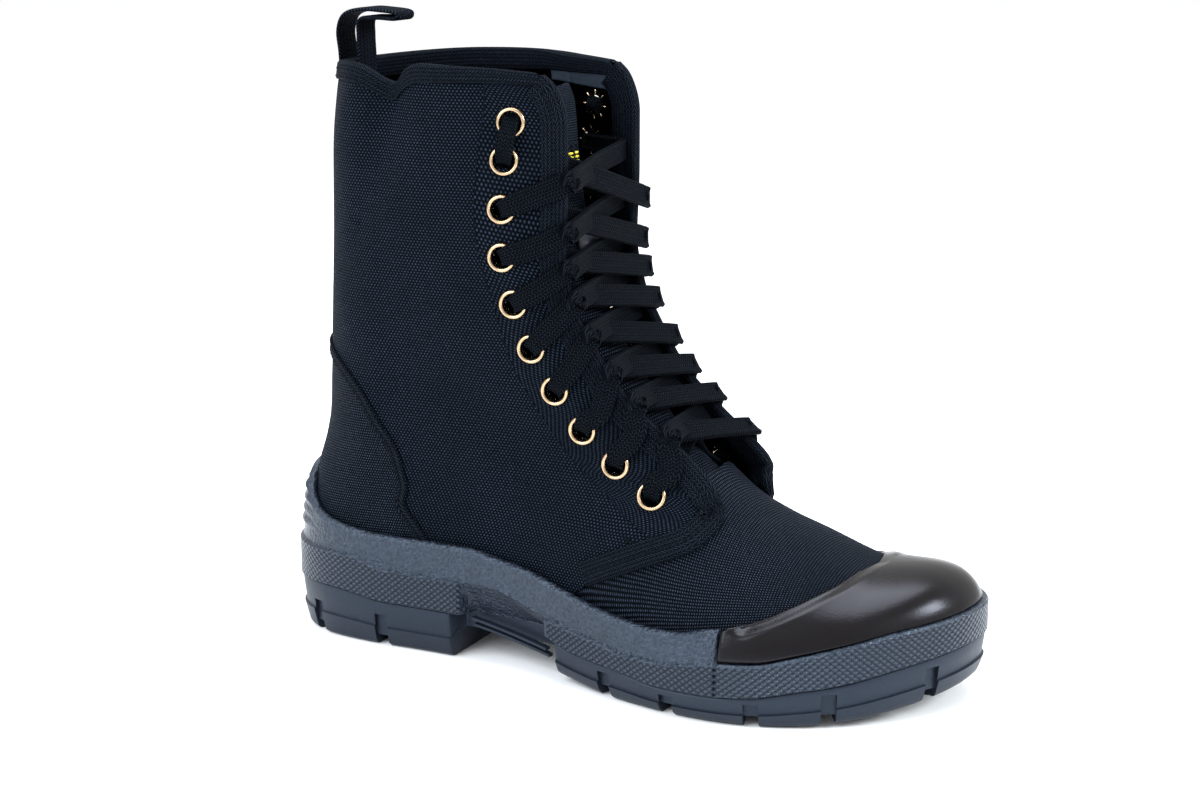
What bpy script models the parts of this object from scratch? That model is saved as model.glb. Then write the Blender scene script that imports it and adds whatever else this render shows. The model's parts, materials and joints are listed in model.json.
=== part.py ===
"""Canvas safety boot for the right foot, eight inches high, ten eyelets a side.

Run with: blender --background --python part.py
Metres throughout. +X is the toe, +Y the inner side of the foot, +Z up. The origin is on the floor under
the middle of the heel. The long tables hold shares of the named sizes, one row for each section.
"""
import math
from bisect import bisect_right

import bmesh
import bpy
from mathutils import Vector

MM = 0.001

# Driving sizes
LENGTH = 295.5 * MM          # sole, heel to toe, without the band
BALL = 111.0 * MM            # sole across the ball
COLLAR = 242.0 * MM          # collar above the floor
RIM_HEIGHT = 48.0 * MM       # rubber rim above the floor at the heel's side
SHAFT_HALF = 43.5 * MM       # half the shaft's width
HEEL_CENTRE = 38.0 * MM      # heel's back to the origin

# Walls and clearances
GAP = 0.3 * MM               # between pieces that meet
CURVE_ROOM = 0.2 * MM        # more where both faces are curved
EDGE_ROOM = 1.25 * MM        # under the tape that runs over the twisted corner of the flap
CANVAS = 2.2 * MM            # quarter with its lining
VAMP_INSET = 1.2 * MM        # vamp's face below the quarter's face
VAMP_WALL = 1.8 * MM
RIM_WALL = 4.8 * MM          # sole's outline to the canvas
BAND_OUT = 1.5 * MM          # textured band beyond the outline
TAPE = 1.0 * MM
TAPE_WIDTH = 9.0 * MM        # along the throat and the quarter's lower edge
COLLAR_TAPE_WIDTH = 6.5 * MM
COUNTER_TAPE_WIDTH = 5.0 * MM
STRIP_WIDTH = 12.0 * MM      # tape up the back
LOOP_WIDTH = 14.0 * MM
LOOP_THICK = 1.6 * MM
KEEPER_WIDTH = 18.0 * MM
KEEPER_HIGH = 11.0 * MM
KEEPER_THICK = 1.3 * MM
KEEPER_PLACE = 0.63          # along the tongue
CAP_EDGE = 2.0 * MM          # toe cap's wall at its top edge
CAP_FOOT = 2.2 * MM          # what the cap's wall gains at the band
INSOLE = 3.0 * MM
TONGUE_WALL = 2.4 * MM

# Heel, arch and forefoot stations along the sole
HEEL_BREAST = 89.0 * MM
FOREFOOT_START = 138.0 * MM
BAND_HEEL_END = 94.0 * MM
BAND_FORE_START = 133.0 * MM
CAP_SEAM = 214.5 * MM
ARCH_RISE = 12.0 * MM        # shank above the floor
ARCH_INSET = 7.5 * MM        # shank's side inside the outline
TOE_SPRING = 10.0 * MM
TREAD_DEPTH = 4.5 * MM
SLOT_WIDTH = 6.0 * MM
SLOT_HEIGHT = 14.0 * MM
RIBS = 4                     # ribs round the back of the rim
RIB_PITCH = 4.8 * MM
RIB_OUT = 1.0 * MM
RIB_FIRST = 46.0 * MM        # height of the lowest rib
RIB_REACH = 0.055            # how far the ribs run forward, a share of the length
HEEL_ARC = 38.0 * MM         # radius of the heel's back

# Lacing
EYELETS = 10
EYELET_PITCH = 18.8 * MM
EYELET_FIRST = 221.5 * MM    # height of the top pair
EYELET_RADIUS = 5.8 * MM
EYELET_HOLE = 4.0 * MM
HOLE_RADIUS = 4.4 * MM       # hole in the canvas, its corners under the ring
EYELET_HIGH = 1.2 * MM
LACE_WIDTH = 7.6 * MM
LACE_THICK = 1.8 * MM
LACE_BARS = 8                # crossings that show

# Mesh density
RING = 62                    # points round the sole
ARC_STEPS = 6                # columns round half of the heel's back
SIDE_STEPS = 9               # columns along one side of the quarters
FLAP_ROWS = 11               # rows below the flap's corner
SHAFT_ROWS = 9              # rows from there to the collar
VAMP_ROWS = 8
VAMP_COLUMNS = 14


class Table:
    """A short table of rows whose first column is the place along it."""

    def __init__(self, *rows):
        self.rows = rows
        self.places = [row[0] for row in rows]

    def at(self, place, column=1):
        """Read a column at a place, smoothly and without overshoot between rows."""
        rows = self.rows
        place = min(max(place, self.places[0]), self.places[-1])
        low = min(max(bisect_right(self.places, place) - 1, 0), len(rows) - 2)
        width = self.places[low + 1] - self.places[low]
        share = (place - self.places[low]) / width
        start = rows[low][column]
        end = rows[low + 1][column]
        rise_in = self.slope(low, column) * width
        rise_out = self.slope(low + 1, column) * width
        square = share * share
        cube = square * share
        return (start * (2 * cube - 3 * square + 1) + rise_in * (cube - 2 * square + share)
                + end * (3 * square - 2 * cube) + rise_out * (cube - square))

    def slope(self, row, column):
        """Slope at a row: zero at a peak, else the harmonic mean of its two sides."""
        if row == 0 or row == len(self.rows) - 1:
            near = 0 if row == 0 else row - 1
            return self.step(near, column)
        before = self.step(row - 1, column)
        after = self.step(row, column)
        if before * after <= 0.0:
            return 0.0
        return 2.0 * before * after / (before + after)

    def step(self, row, column):
        """Straight slope from a row to the next."""
        rows = self.rows
        return (rows[row + 1][column] - rows[row][column]) / (rows[row + 1][0] - rows[row][0])


# Sole outline from above, round from the heel by the outer side: share of LENGTH, share of BALL
OUTLINE = (
    (0.000, 0.000), (0.020, -0.194), (0.076, -0.314), (0.155, -0.347), (0.271, -0.342),
    (0.370, -0.351), (0.469, -0.396), (0.569, -0.468), (0.668, -0.514), (0.750, -0.505),
    (0.833, -0.432), (0.899, -0.333), (0.959, -0.171), (0.993, 0.000), (1.000, 0.126),
    (0.983, 0.270), (0.940, 0.387), (0.871, 0.459), (0.782, 0.486), (0.683, 0.468),
    (0.567, 0.387), (0.451, 0.324), (0.336, 0.311), (0.203, 0.333), (0.088, 0.315),
    (0.020, 0.198),
)
TOE_ROW = 14                 # the outline's row at the very toe

# Heights along the sole: share of LENGTH, share of RIM_HEIGHT
BAND_LOW = Table(
    (0.000, 0.427), (0.096, 0.469), (0.136, 0.450), (0.192, 0.406), (0.304, 0.400),
    (0.443, 0.396), (0.496, 0.312), (0.585, 0.267), (0.645, 0.225), (0.717, 0.229),
    (0.774, 0.254), (0.823, 0.312), (0.879, 0.375), (0.929, 0.460), (1.000, 0.560),
)
BAND_TOP = Table(
    (0.000, 0.802), (0.136, 0.792), (0.195, 0.713), (0.311, 0.700), (0.370, 0.688),
    (0.443, 0.573), (0.486, 0.521), (0.552, 0.471), (0.585, 0.438), (0.645, 0.442),
    (0.717, 0.510), (0.777, 0.533), (0.823, 0.600), (0.879, 0.690), (0.929, 0.770),
    (1.000, 0.835),
)
RIM = Table(
    (0.000, 1.458), (0.013, 1.375), (0.040, 1.208), (0.073, 1.104), (0.106, 1.054),
    (0.136, 1.025), (0.192, 1.004), (0.321, 1.000), (0.370, 0.954), (0.420, 0.908),
    (0.463, 0.838), (0.512, 0.767), (0.569, 0.713), (0.615, 0.688), (0.661, 0.692),
    (0.711, 0.756), (1.000, 0.917),
)
FLOOR = Table(
    (0.000, 0.625), (0.136, 0.604), (0.268, 0.625), (0.350, 0.667), (0.417, 0.635),
    (0.499, 0.510), (0.582, 0.427), (0.664, 0.406), (0.747, 0.417), (0.830, 0.490),
    (0.912, 0.604), (1.000, 0.708),
)

# Ridge over the foot, behind the throat only a guide: share of LENGTH, share of COLLAR
CREST = Table(
    (0.000, 3.719), (0.268, 2.893), (0.367, 1.653), (0.433, 1.116), (0.483, 0.806),
    (0.532, 0.570), (0.582, 0.450), (0.631, 0.375), (0.683, 0.322), (0.731, 0.291),
    (0.783, 0.263), (0.852, 0.228), (0.886, 0.217),
)
CREST_END = 0.886            # where the ridge turns down to the toe
# Height up to which the quarters cling to the last: share of LENGTH, share of COLLAR
CLING = Table(
    (0.000, 0.298), (0.136, 0.240), (0.400, 0.240), (0.499, 0.248), (0.549, 0.262),
    (0.621, 0.272), (0.684, 0.281),
)
CLING_FADE = 13.0 * MM
# Heel's back leaning forward as it rises: share of COLLAR, share of LENGTH
LEAN = Table((0.124, 0.000), (0.190, 0.002), (0.264, 0.009), (0.331, 0.019), (0.384, 0.029))

# One row for each section of the quarters, from the sole's edge up to the collar.
# Shares of LENGTH for x, of COLLAR for z, of SHAFT_HALF for the half widths
# (row, back x, back z, front x, front z, half width at heel, middle, eyelets, edge)
QUARTER = Table(
    (0.0000, 0.016, 0.125, 0.443, 0.121, 0.770, 0.782, 0.874, 1.011),
    (0.0625, 0.018, 0.190, 0.486, 0.151, 0.770, 0.782, 0.874, 1.011),
    (0.1250, 0.025, 0.264, 0.512, 0.175, 0.770, 0.782, 0.874, 1.011),
    (0.1875, 0.035, 0.331, 0.597, 0.225, 0.770, 0.782, 0.874, 1.011),
    (0.2500, 0.045, 0.384, 0.672, 0.266, 0.782, 0.793, 0.874, 0.851),
    (0.3125, 0.048, 0.417, 0.688, 0.300, 0.793, 0.805, 0.851, 0.736),
    (0.3750, 0.050, 0.446, 0.678, 0.340, 0.816, 0.828, 0.816, 0.632),
    (0.4375, 0.053, 0.483, 0.639, 0.388, 0.839, 0.851, 0.816, 0.609),
    (0.5000, 0.056, 0.537, 0.597, 0.428, 0.862, 0.874, 0.828, 0.632),
    (0.5625, 0.060, 0.599, 0.545, 0.486, 0.885, 0.908, 0.851, 0.667),
    (0.6250, 0.064, 0.661, 0.506, 0.556, 0.908, 0.943, 0.874, 0.701),
    (0.6875, 0.067, 0.727, 0.478, 0.622, 0.931, 0.966, 0.897, 0.724),
    (0.7500, 0.069, 0.798, 0.465, 0.702, 0.943, 0.989, 0.906, 0.736),
    (0.8125, 0.072, 0.872, 0.468, 0.814, 0.954, 1.000, 0.885, 0.736),
    (0.8750, 0.079, 0.942, 0.468, 0.909, 0.954, 1.000, 0.857, 0.736),
    (0.9375, 0.084, 0.975, 0.454, 0.967, 0.954, 1.000, 0.846, 0.747),
    (1.0000, 0.086, 0.988, 0.435, 0.990, 0.954, 1.000, 0.846, 0.759),
)
BACK_X, BACK_Z, FRONT_X, FRONT_Z, HALF_HEEL, HALF_MIDDLE, HALF_EYE, HALF_EDGE = range(1, 9)
MIDDLE_SHARE = 0.40          # where along a side the middle and eyelet widths are taken
EYE_SHARE = 0.74
ARC_SHARE = 0.40             # share of the columns that lie on the heel's arc
COLLAR_CROWN = 2.5 * MM      # collar's rise between its back and its front corner
FOLD_PLACE = 0.42            # column of the fold in the outer side's collar
FOLD_SPREAD = 0.07
FOLD_DROP = 8.0 * MM         # how far the collar drops at the fold
FOLD_DENT = 4.0 * MM         # how far the wall is pushed in there
LOWER_EDGE_ROW = 0.125       # quarter's front edge leaves the rim here
CORNER_ROW = 0.36            # flap's corner

# How far the eyelets lie behind the throat's edge: row, millimetres
EYELET_INSET = Table(
    (0.300, 9.0), (0.345, 10.5), (0.384, 14.5), (0.434, 20.0), (0.516, 20.8), (0.648, 21.5), (0.714, 22.3),
    (0.769, 24.5), (0.815, 24.3), (0.873, 22.0), (1.000, 21.0),
)

# Side view of the toe cap's back edge: share of the way up, share of the way forward
CAP_EDGE_CURVE = Table(
    (0.0, 0.0), (0.14, 0.0), (0.20, 0.20), (0.28, 0.43), (0.40, 0.65), (0.63, 0.87), (1.0, 1.0),
)
CAP_CLIMBS = (0.0, 0.07, 0.14, 0.21, 0.31, 0.45, 0.63, 0.82, 1.0)
CAP_CREST = 258.0 * MM       # where the cap's edge crosses the ridge

# Top edge of the heel counter: column of the quarters, height in millimetres
COUNTER_EDGE = Table(
    (0.000, 124.0), (0.150, 122.0), (0.250, 117.0), (0.338, 107.5), (0.421, 88.6), (0.482, 68.5), (0.575, 50.5),
)

# Pull loop in side view: millimetres forward of the collar's back, millimetres above the collar
PULL_LOOP = (
    (-5.6, -17.0), (-4.6, -6.0), (-4.8, 3.0), (-5.6, 12.0), (-2.5, 18.5), (6.0, 20.8), (15.0, 20.6),
    (21.5, 20.0), (23.0, 19.0), (21.5, 17.4), (13.0, 17.6), (5.0, 16.6), (4.2, 10.0), (4.5, 1.0), (4.5, -12.0),
)

# Tongue's middle line in side view: place, share of LENGTH, share of COLLAR, half width over SHAFT_HALF
TONGUE = Table(
    (0.00, 0.700, 0.290, 0.44), (0.12, 0.650, 0.335, 0.54), (0.28, 0.566, 0.423, 0.64),
    (0.45, 0.480, 0.566, 0.69), (0.62, 0.438, 0.700, 0.71), (0.80, 0.422, 0.840, 0.72),
    (0.93, 0.414, 0.930, 0.70), (1.00, 0.410, 0.962, 0.58),
)
TONGUE_SAG = 15.0 * MM       # how far the tongue's sides fall back from its middle


def ease(share):
    """Smooth step from 0 to 1."""
    share = min(max(share, 0.0), 1.0)
    return share * share * (3.0 - 2.0 * share)


def mix(start, end, share):
    """Straight mix of two numbers or vectors."""
    return start + (end - start) * share


def turn_at(along):
    """Angle round the outline, on the outer side, of a share of the sole's length."""
    return math.acos(1.0 - 2.0 * min(max(along, 0.0), 1.0))


def along_at(turn):
    """Share of the sole's length at an angle round the outline."""
    return (1.0 - math.cos(turn)) / 2.0


def outline_table():
    """The outline as a periodic table of turn against share of BALL."""
    rows = []
    for number, (along, across) in enumerate(OUTLINE):
        turn = turn_at(along)
        if number > TOE_ROW:
            turn = 2.0 * math.pi - turn
        rows.append((turn, across))
    full = 2.0 * math.pi
    before = [(turn - full, across) for turn, across in rows[-3:]]
    after = [(turn + full, across) for turn, across in rows[:3]]
    return before + rows + after


OUTLINE_TURNS = outline_table()


def outline_across(turn):
    """Distance across the sole at a turn, by a Catmull-Rom curve through the rows."""
    rows = OUTLINE_TURNS
    places = [row[0] for row in rows]
    low = min(max(bisect_right(places, turn) - 1, 1), len(rows) - 3)
    (t0, y0), (t1, y1), (t2, y2), (t3, y3) = rows[low - 1:low + 3]
    width = t2 - t1
    share = (turn - t1) / width
    rise_in = width * (y2 - y0) / (t2 - t0)
    rise_out = width * (y3 - y1) / (t3 - t1)
    square = share * share
    cube = square * share
    value = (y1 * (2 * cube - 3 * square + 1) + rise_in * (cube - 2 * square + share)
             + y2 * (3 * square - 2 * cube) + rise_out * (cube - square))
    return BALL * value


def outline_point(turn):
    """Point of the outline in plan, measured from the heel's back."""
    turn %= 2.0 * math.pi
    return Vector((LENGTH * along_at(turn), outline_across(turn), 0.0))


def outward(turn):
    """Unit vector in plan that points out of the outline."""
    step = 0.01
    run = outline_point(turn + step) - outline_point(turn - step)
    return Vector((run.y, -run.x, 0.0)).normalized()


def rim_offset(turn, distance):
    """Outline moved outward by a distance."""
    return outline_point(turn) + outward(turn) * distance


def mirror_turn(turn):
    """The same station on the other side of the foot."""
    return 2.0 * math.pi - turn


def read(table, turn, size):
    """Read a table of heights at a turn, as a length."""
    return table.at(along_at(turn)) * size


def floor_height(turn):
    """Height of the cup's floor."""
    return read(FLOOR, turn, RIM_HEIGHT)


def spine(turn):
    """Point of the foot's ridge that a station's section rises to."""
    limit = turn_at(CREST_END)
    held = min(turn, mirror_turn(turn), limit)
    left = rim_offset(held, -RIM_WALL)
    right = rim_offset(mirror_turn(held), -RIM_WALL)
    middle = (left + right) / 2.0
    middle.z = read(CREST, held, COLLAR)
    return middle


SECTION_ROUND = 2.2          # power of the section's curve across the foot


def last_point(turn, height):
    """Point of the last at a station of the outline and a height above the floor."""
    foot = rim_offset(turn, -RIM_WALL)
    peak = spine(turn)
    base = floor_height(turn)
    rise = min(max((height - base) / (peak.z - base), 0.0), 1.0)
    narrow = (1.0 - rise * rise) ** (1.0 / SECTION_ROUND)
    point = mix(Vector((peak.x, peak.y, 0.0)), foot, narrow)
    near_heel = max(0.0, 1.0 - min(turn, mirror_turn(turn)) / 0.95)
    lean = LEAN.at(height / COLLAR) * LENGTH * ease(near_heel)
    point -= outward(turn) * lean
    point.z = height
    return point


def vamp_point(turn, climb):
    """Point of the last where climb goes from 0 at the sole to 1 on the ridge."""
    base = floor_height(turn)
    peak = spine(turn)
    height = base + (peak.z - base) * math.sin(climb * math.pi / 2.0)
    foot = rim_offset(turn, -RIM_WALL)
    narrow = math.cos(climb * math.pi / 2.0) ** (2.0 / SECTION_ROUND) if climb < 1.0 else 0.0
    point = mix(Vector((peak.x, peak.y, 0.0)), foot, narrow)
    point.z = height
    return point


def side_half(row, share):
    """Half width of the shaft along one side, from the heel's arc to the throat's edge."""
    widths = [QUARTER.at(row, column) for column in (HALF_HEEL, HALF_MIDDLE, HALF_EYE, HALF_EDGE)]
    places = (0.0, MIDDLE_SHARE, EYE_SHARE, 1.0)
    return Table(*zip(places, widths)).at(share) * SHAFT_HALF


def quarter_point(row, across):
    """Point of the quarters' face: row 0..1 upwards, across -1 outer edge, 0 back, 1 inner edge."""
    back = Vector((QUARTER.at(row, BACK_X) * LENGTH, 0.0, QUARTER.at(row, BACK_Z) * COLLAR))
    front = Vector((QUARTER.at(row, FRONT_X) * LENGTH, 0.0, QUARTER.at(row, FRONT_Z) * COLLAR))
    reach = abs(across)
    if reach < ARC_SHARE:
        angle = reach / ARC_SHARE * math.pi / 2.0
        inward = HEEL_ARC * (1.0 - math.cos(angle))
        high_x = back.x + inward
        half = side_half(row, 0.0) * math.sin(angle)
        station = inward
    else:
        share = (reach - ARC_SHARE) / (1.0 - ARC_SHARE)
        high_x = mix(back.x + HEEL_ARC, front.x, share)
        half = side_half(row, share)
        station = mix(HEEL_ARC, front.x, share)
    forward = (high_x - back.x) / (front.x - back.x)
    crown = COLLAR_CROWN * 4.0 * forward * (1.0 - forward) * ease((row - 0.8) / 0.2)
    height = max(mix(back.z, front.z, forward) + crown, FLOOR.at(station / LENGTH) * RIM_HEIGHT + 0.1 * MM)
    side = -1.0 if across < 0.0 else 1.0
    fold = math.exp(-((across + FOLD_PLACE) / FOLD_SPREAD) ** 2) * ease((row - 0.72) / 0.28)
    height -= FOLD_DROP * fold
    high = Vector((high_x, side * (half - FOLD_DENT * fold), height))
    turn = turn_at(station / LENGTH)
    low = last_point(turn if side < 0.0 else mirror_turn(turn), height)
    free = ease((height - CLING.at(station / LENGTH) * COLLAR) / CLING_FADE)
    return mix(low, high, free)


def quarter_frame(row, across):
    """Face point, outward normal, and the directions up and along the face."""
    step = 0.004
    up = quarter_point(min(row + step, 1.0), across) - quarter_point(max(row - step, 0.0), across)
    high = min(across + step, 1.0)
    low = max(across - step, -1.0)
    along = quarter_point(row, high) - quarter_point(row, low)
    normal = up.cross(along).normalized()
    return quarter_point(row, across), normal, up.normalized(), along.normalized()


# Materials

def material(name, colour, rough, metallic=0.0):
    """A Principled material with one colour."""
    made = bpy.data.materials.new(name)
    made.use_nodes = True
    shader = made.node_tree.nodes["Principled BSDF"]
    shader.inputs["Base Color"].default_value = (*colour, 1.0)
    shader.inputs["Roughness"].default_value = rough
    shader.inputs["Metallic"].default_value = metallic
    return made


COLOURS = {
    "canvas": ((0.010, 0.012, 0.018), 0.85, 0.0),
    "lining": ((0.020, 0.021, 0.024), 0.90, 0.0),
    "tape": ((0.008, 0.009, 0.012), 0.80, 0.0),
    "rubber": ((0.030, 0.035, 0.048), 0.60, 0.0),
    "tread": ((0.026, 0.031, 0.046), 0.50, 0.0),
    "cap": ((0.010, 0.010, 0.012), 0.25, 0.0),
    "lace": ((0.010, 0.011, 0.013), 0.80, 0.0),
    "leather": ((0.090, 0.105, 0.130), 0.35, 0.0),
    "brass": ((0.650, 0.420, 0.200), 0.25, 1.0),
    "foam": ((0.040, 0.042, 0.046), 0.90, 0.0),
}


# Mesh tools

def finish(mesh_data, name, look):
    """Turn a bmesh into a named object with its own material, moved so that the origin is under the heel."""
    bmesh.ops.remove_doubles(mesh_data, verts=mesh_data.verts, dist=0.01 * MM)
    bmesh.ops.dissolve_degenerate(mesh_data, dist=0.01 * MM, edges=mesh_data.edges)
    bmesh.ops.recalc_face_normals(mesh_data, faces=mesh_data.faces)
    bmesh.ops.translate(mesh_data, verts=mesh_data.verts, vec=(-HEEL_CENTRE, 0.0, 0.0))
    bmesh.ops.triangulate(mesh_data, faces=mesh_data.faces)
    mesh = bpy.data.meshes.new(name)
    mesh_data.to_mesh(mesh)
    mesh_data.free()
    made = bpy.data.objects.new(name, mesh)
    bpy.context.collection.objects.link(made)
    mesh.materials.append(material(name, *COLOURS[look]))
    return made


def add_grid(mesh_data, rows, closed=False):
    """Add a sheet of quads through rows of points."""
    made = [[mesh_data.verts.new(point) for point in row] for row in rows]
    for lower, upper in zip(made, made[1:]):
        count = len(lower)
        for number in range(count if closed else count - 1):
            after = (number + 1) % count
            mesh_data.faces.new((lower[number], lower[after], upper[after], upper[number]))
    return made


def thicken(mesh_data, outer, inner):
    """Give a sheet two faces, at the outer and inner distances along its normals, closed at its edges."""
    bmesh.ops.remove_doubles(mesh_data, verts=mesh_data.verts, dist=0.01 * MM)
    bmesh.ops.dissolve_degenerate(mesh_data, dist=0.01 * MM, edges=mesh_data.edges)
    mesh_data.normal_update()
    inside = {}
    faces = list(mesh_data.faces)
    border = [edge for edge in mesh_data.edges if edge.is_boundary]
    start = {vert: (vert.co.copy(), vert.normal.copy()) for vert in mesh_data.verts}
    for vert, (place, normal) in start.items():
        inside[vert] = mesh_data.verts.new(place + normal * inner(place))
        vert.co = place + normal * outer(place)
    for edge in border:
        first, second = edge.verts
        face = edge.link_faces[0]
        loop = next(item for item in face.loops if item.edge == edge)
        if loop.vert == first:
            first, second = second, first
        mesh_data.faces.new((first, second, inside[second], inside[first]))
    for face in faces:
        mesh_data.faces.new([inside[vert] for vert in reversed(face.verts)])


def sheet(name, look, rows, outer, inner):
    """A thickened sheet through rows of points; outer and inner are distances or functions of the place."""
    mesh_data = bmesh.new()
    add_grid(mesh_data, rows)
    face_out = outer if callable(outer) else lambda place: outer
    face_in = inner if callable(inner) else lambda place: inner
    thicken(mesh_data, face_out, face_in)
    return finish(mesh_data, name, look)


def cap_across(mesh_data, ring):
    """Close a ring that runs once round the sole with a ladder of faces from side to side."""
    count = len(ring)
    half = count // 2
    for number in range(half):
        left = ring[number]
        left_next = ring[number + 1]
        right = ring[(count - number) % count]
        right_next = ring[(count - number - 1) % count]
        corners = []
        for vert in (left, left_next, right_next, right):
            if vert not in corners:
                corners.append(vert)
        if len(corners) > 2:
            mesh_data.faces.new(corners)


def swept(name, look, turns, tracks):
    """A closed solid swept round the sole: tracks from the underside, up the outside and in to the top."""
    mesh_data = bmesh.new()
    rows = [[track(turn) for turn in turns] for track in tracks]
    rings = add_grid(mesh_data, rows, closed=True)
    cap_across(mesh_data, rings[0])
    cap_across(mesh_data, rings[-1])
    return finish(mesh_data, name, look)


def slivers(mesh_data):
    """Faces of shells too small to hold any volume, which a Boolean can leave behind."""
    found = []
    seen = set()
    for first in mesh_data.faces:
        if first in seen:
            continue
        shell = [first]
        seen.add(first)
        for face in shell:
            for edge in face.edges:
                for other in edge.link_faces if len(edge.link_faces) == 2 else ():
                    if other not in seen:
                        seen.add(other)
                        shell.append(other)
        if len(shell) < 4:
            found.extend(shell)
    return found


def combine(target, tool, operation, smallest=0.0, crossing=True):
    """Apply a Boolean between two objects and drop the tool."""
    cut = target.modifiers.new("cut", "BOOLEAN")
    cut.operation = operation
    cut.object = tool
    cut.solver = "EXACT"
    cut.use_self = crossing
    bpy.context.view_layer.update()
    shape = target.evaluated_get(bpy.context.evaluated_depsgraph_get())
    mesh = bpy.data.meshes.new_from_object(shape)
    target.modifiers.remove(cut)
    old = target.data
    target.data = mesh
    bpy.data.meshes.remove(old)
    bpy.data.objects.remove(tool)
    clean = bmesh.new()
    clean.from_mesh(mesh)
    if smallest > 0.0:
        bmesh.ops.dissolve_degenerate(clean, dist=smallest, edges=clean.edges)
    bmesh.ops.delete(clean, geom=slivers(clean), context="FACES")
    stray = [vert for vert in clean.verts if not vert.link_faces]
    bmesh.ops.delete(clean, geom=stray, context="VERTS")
    bmesh.ops.triangulate(clean, faces=clean.faces)
    clean.to_mesh(mesh)
    clean.free()
    return target


def swept_bar(mesh_data, centres, sides, ups):
    """A bar through centre points with half-width and half-height vectors at each."""
    rows = []
    for centre, side, high in zip(centres, sides, ups):
        rows.append([centre + side + high, centre - side + high, centre - side - high, centre + side - high])
    made = add_grid(mesh_data, rows, closed=True)
    mesh_data.faces.new(list(reversed(made[0])))
    mesh_data.faces.new(made[-1])


# Sole

def ring_turns(extra=()):
    """Turns round the sole, even with stations added at named places on both sides."""
    turns = {round(2.0 * math.pi * number / RING, 6) for number in range(RING)}
    for place in extra:
        turn = turn_at(place / LENGTH)
        for station in (turn, mirror_turn(turn)):
            close = [item for item in turns if abs(item - station) < 0.02 and item not in (0.0,)]
            for item in close:
                if abs(item - math.pi) > 0.001:
                    turns.discard(item)
        turns.add(round(turn, 6))
        turns.add(round(mirror_turn(turn), 6))
    return sorted(turns)


def sole_turns():
    """Turns shared by the outsole, midsole and insole, so that their joints match point for point."""
    return ring_turns((HEEL_BREAST - 1.5 * MM, HEEL_BREAST + 1.5 * MM, BAND_HEEL_END + 1.5 * MM,
                       BAND_FORE_START - 1.5 * MM, FOREFOOT_START - 1.5 * MM, FOREFOOT_START + 1.5 * MM,
                       CAP_SEAM - 0.5 * MM, CAP_SEAM + 0.5 * MM))


def in_arch(turn, start, end, fade):
    """1 between two stations of the sole and 0 outside them, with a fade."""
    place = along_at(turn) * LENGTH
    return ease((place - start) / fade + 0.5) * ease((end - place) / fade + 0.5)


def band_low(turn):
    """Height of the joint between outsole and midsole."""
    return read(BAND_LOW, turn, RIM_HEIGHT)


def at_height(point, height):
    """Copy of a plan point at a height."""
    return Vector((point.x, point.y, height))


def at_joint(point, above):
    """Copy of a plan point on the joint of outsole and midsole, or above it."""
    return at_height(point, BAND_LOW.at(point.x / LENGTH) * RIM_HEIGHT + above)


def midsole_tracks():
    """The midsole's section from its underside, out round the band and rim, to the cup's floor."""
    def recess(turn):
        return in_arch(turn, BAND_HEEL_END, BAND_FORE_START, 5.0 * MM)

    def under(turn):
        out = mix(BAND_OUT, -ARCH_INSET, recess(turn))
        return at_joint(rim_offset(turn, out), GAP)

    def band(turn):
        out = mix(BAND_OUT, -0.35 * ARCH_INSET, recess(turn))
        top = read(BAND_TOP, turn, RIM_HEIGHT)
        return at_height(rim_offset(turn, out), top - mix(0.8 * MM, 4.5 * MM, recess(turn)))

    def ledge(turn):
        front = ease((along_at(turn) * LENGTH - CAP_SEAM) / MM + 0.5)
        top = read(BAND_TOP, turn, RIM_HEIGHT)
        return at_height(rim_offset(turn, mix(0.0, 0.8 * MM, front)), top)

    def rim_top(turn):
        front = ease((along_at(turn) * LENGTH - CAP_SEAM) / MM + 0.5)
        rim = read(RIM, turn, RIM_HEIGHT)
        return rim, front, read(BAND_TOP, turn, RIM_HEIGHT)

    def rim_outer(turn):
        rim, front, top = rim_top(turn)
        height = mix(rim - 1.6 * MM, top, front)
        wall = mix(last_point(turn, rim) + outward(turn) * 0.85 * RIM_WALL, rim_offset(turn, 0.0), front)
        return at_height(wall, height)

    def rim_crown(turn):
        rim, front, top = rim_top(turn)
        height = mix(rim, top, front)
        return at_height(last_point(turn, height) + outward(turn) * 0.5 * RIM_WALL, height)

    def rim_gap(turn):
        return mix(GAP + 0.15 * MM, GAP + 0.4 * MM - VAMP_INSET,
                   ease((along_at(turn) * LENGTH - 160.0 * MM) / (4.0 * MM)))

    def rim_inner(turn):
        rim, front, top = rim_top(turn)
        height = mix(rim - 0.8 * MM, top, front)
        return last_point(turn, height) + outward(turn) * rim_gap(turn)

    def inner_middle(turn):
        rim, front, top = rim_top(turn)
        height = mix(floor_height(turn), mix(rim, top, front), 0.5)
        return last_point(turn, height) + outward(turn) * rim_gap(turn)

    def cup_floor(turn):
        return last_point(turn, floor_height(turn) - GAP) + outward(turn) * rim_gap(turn)

    return [under, band, ledge, rim_outer, rim_crown, rim_inner, inner_middle, cup_floor]


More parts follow.
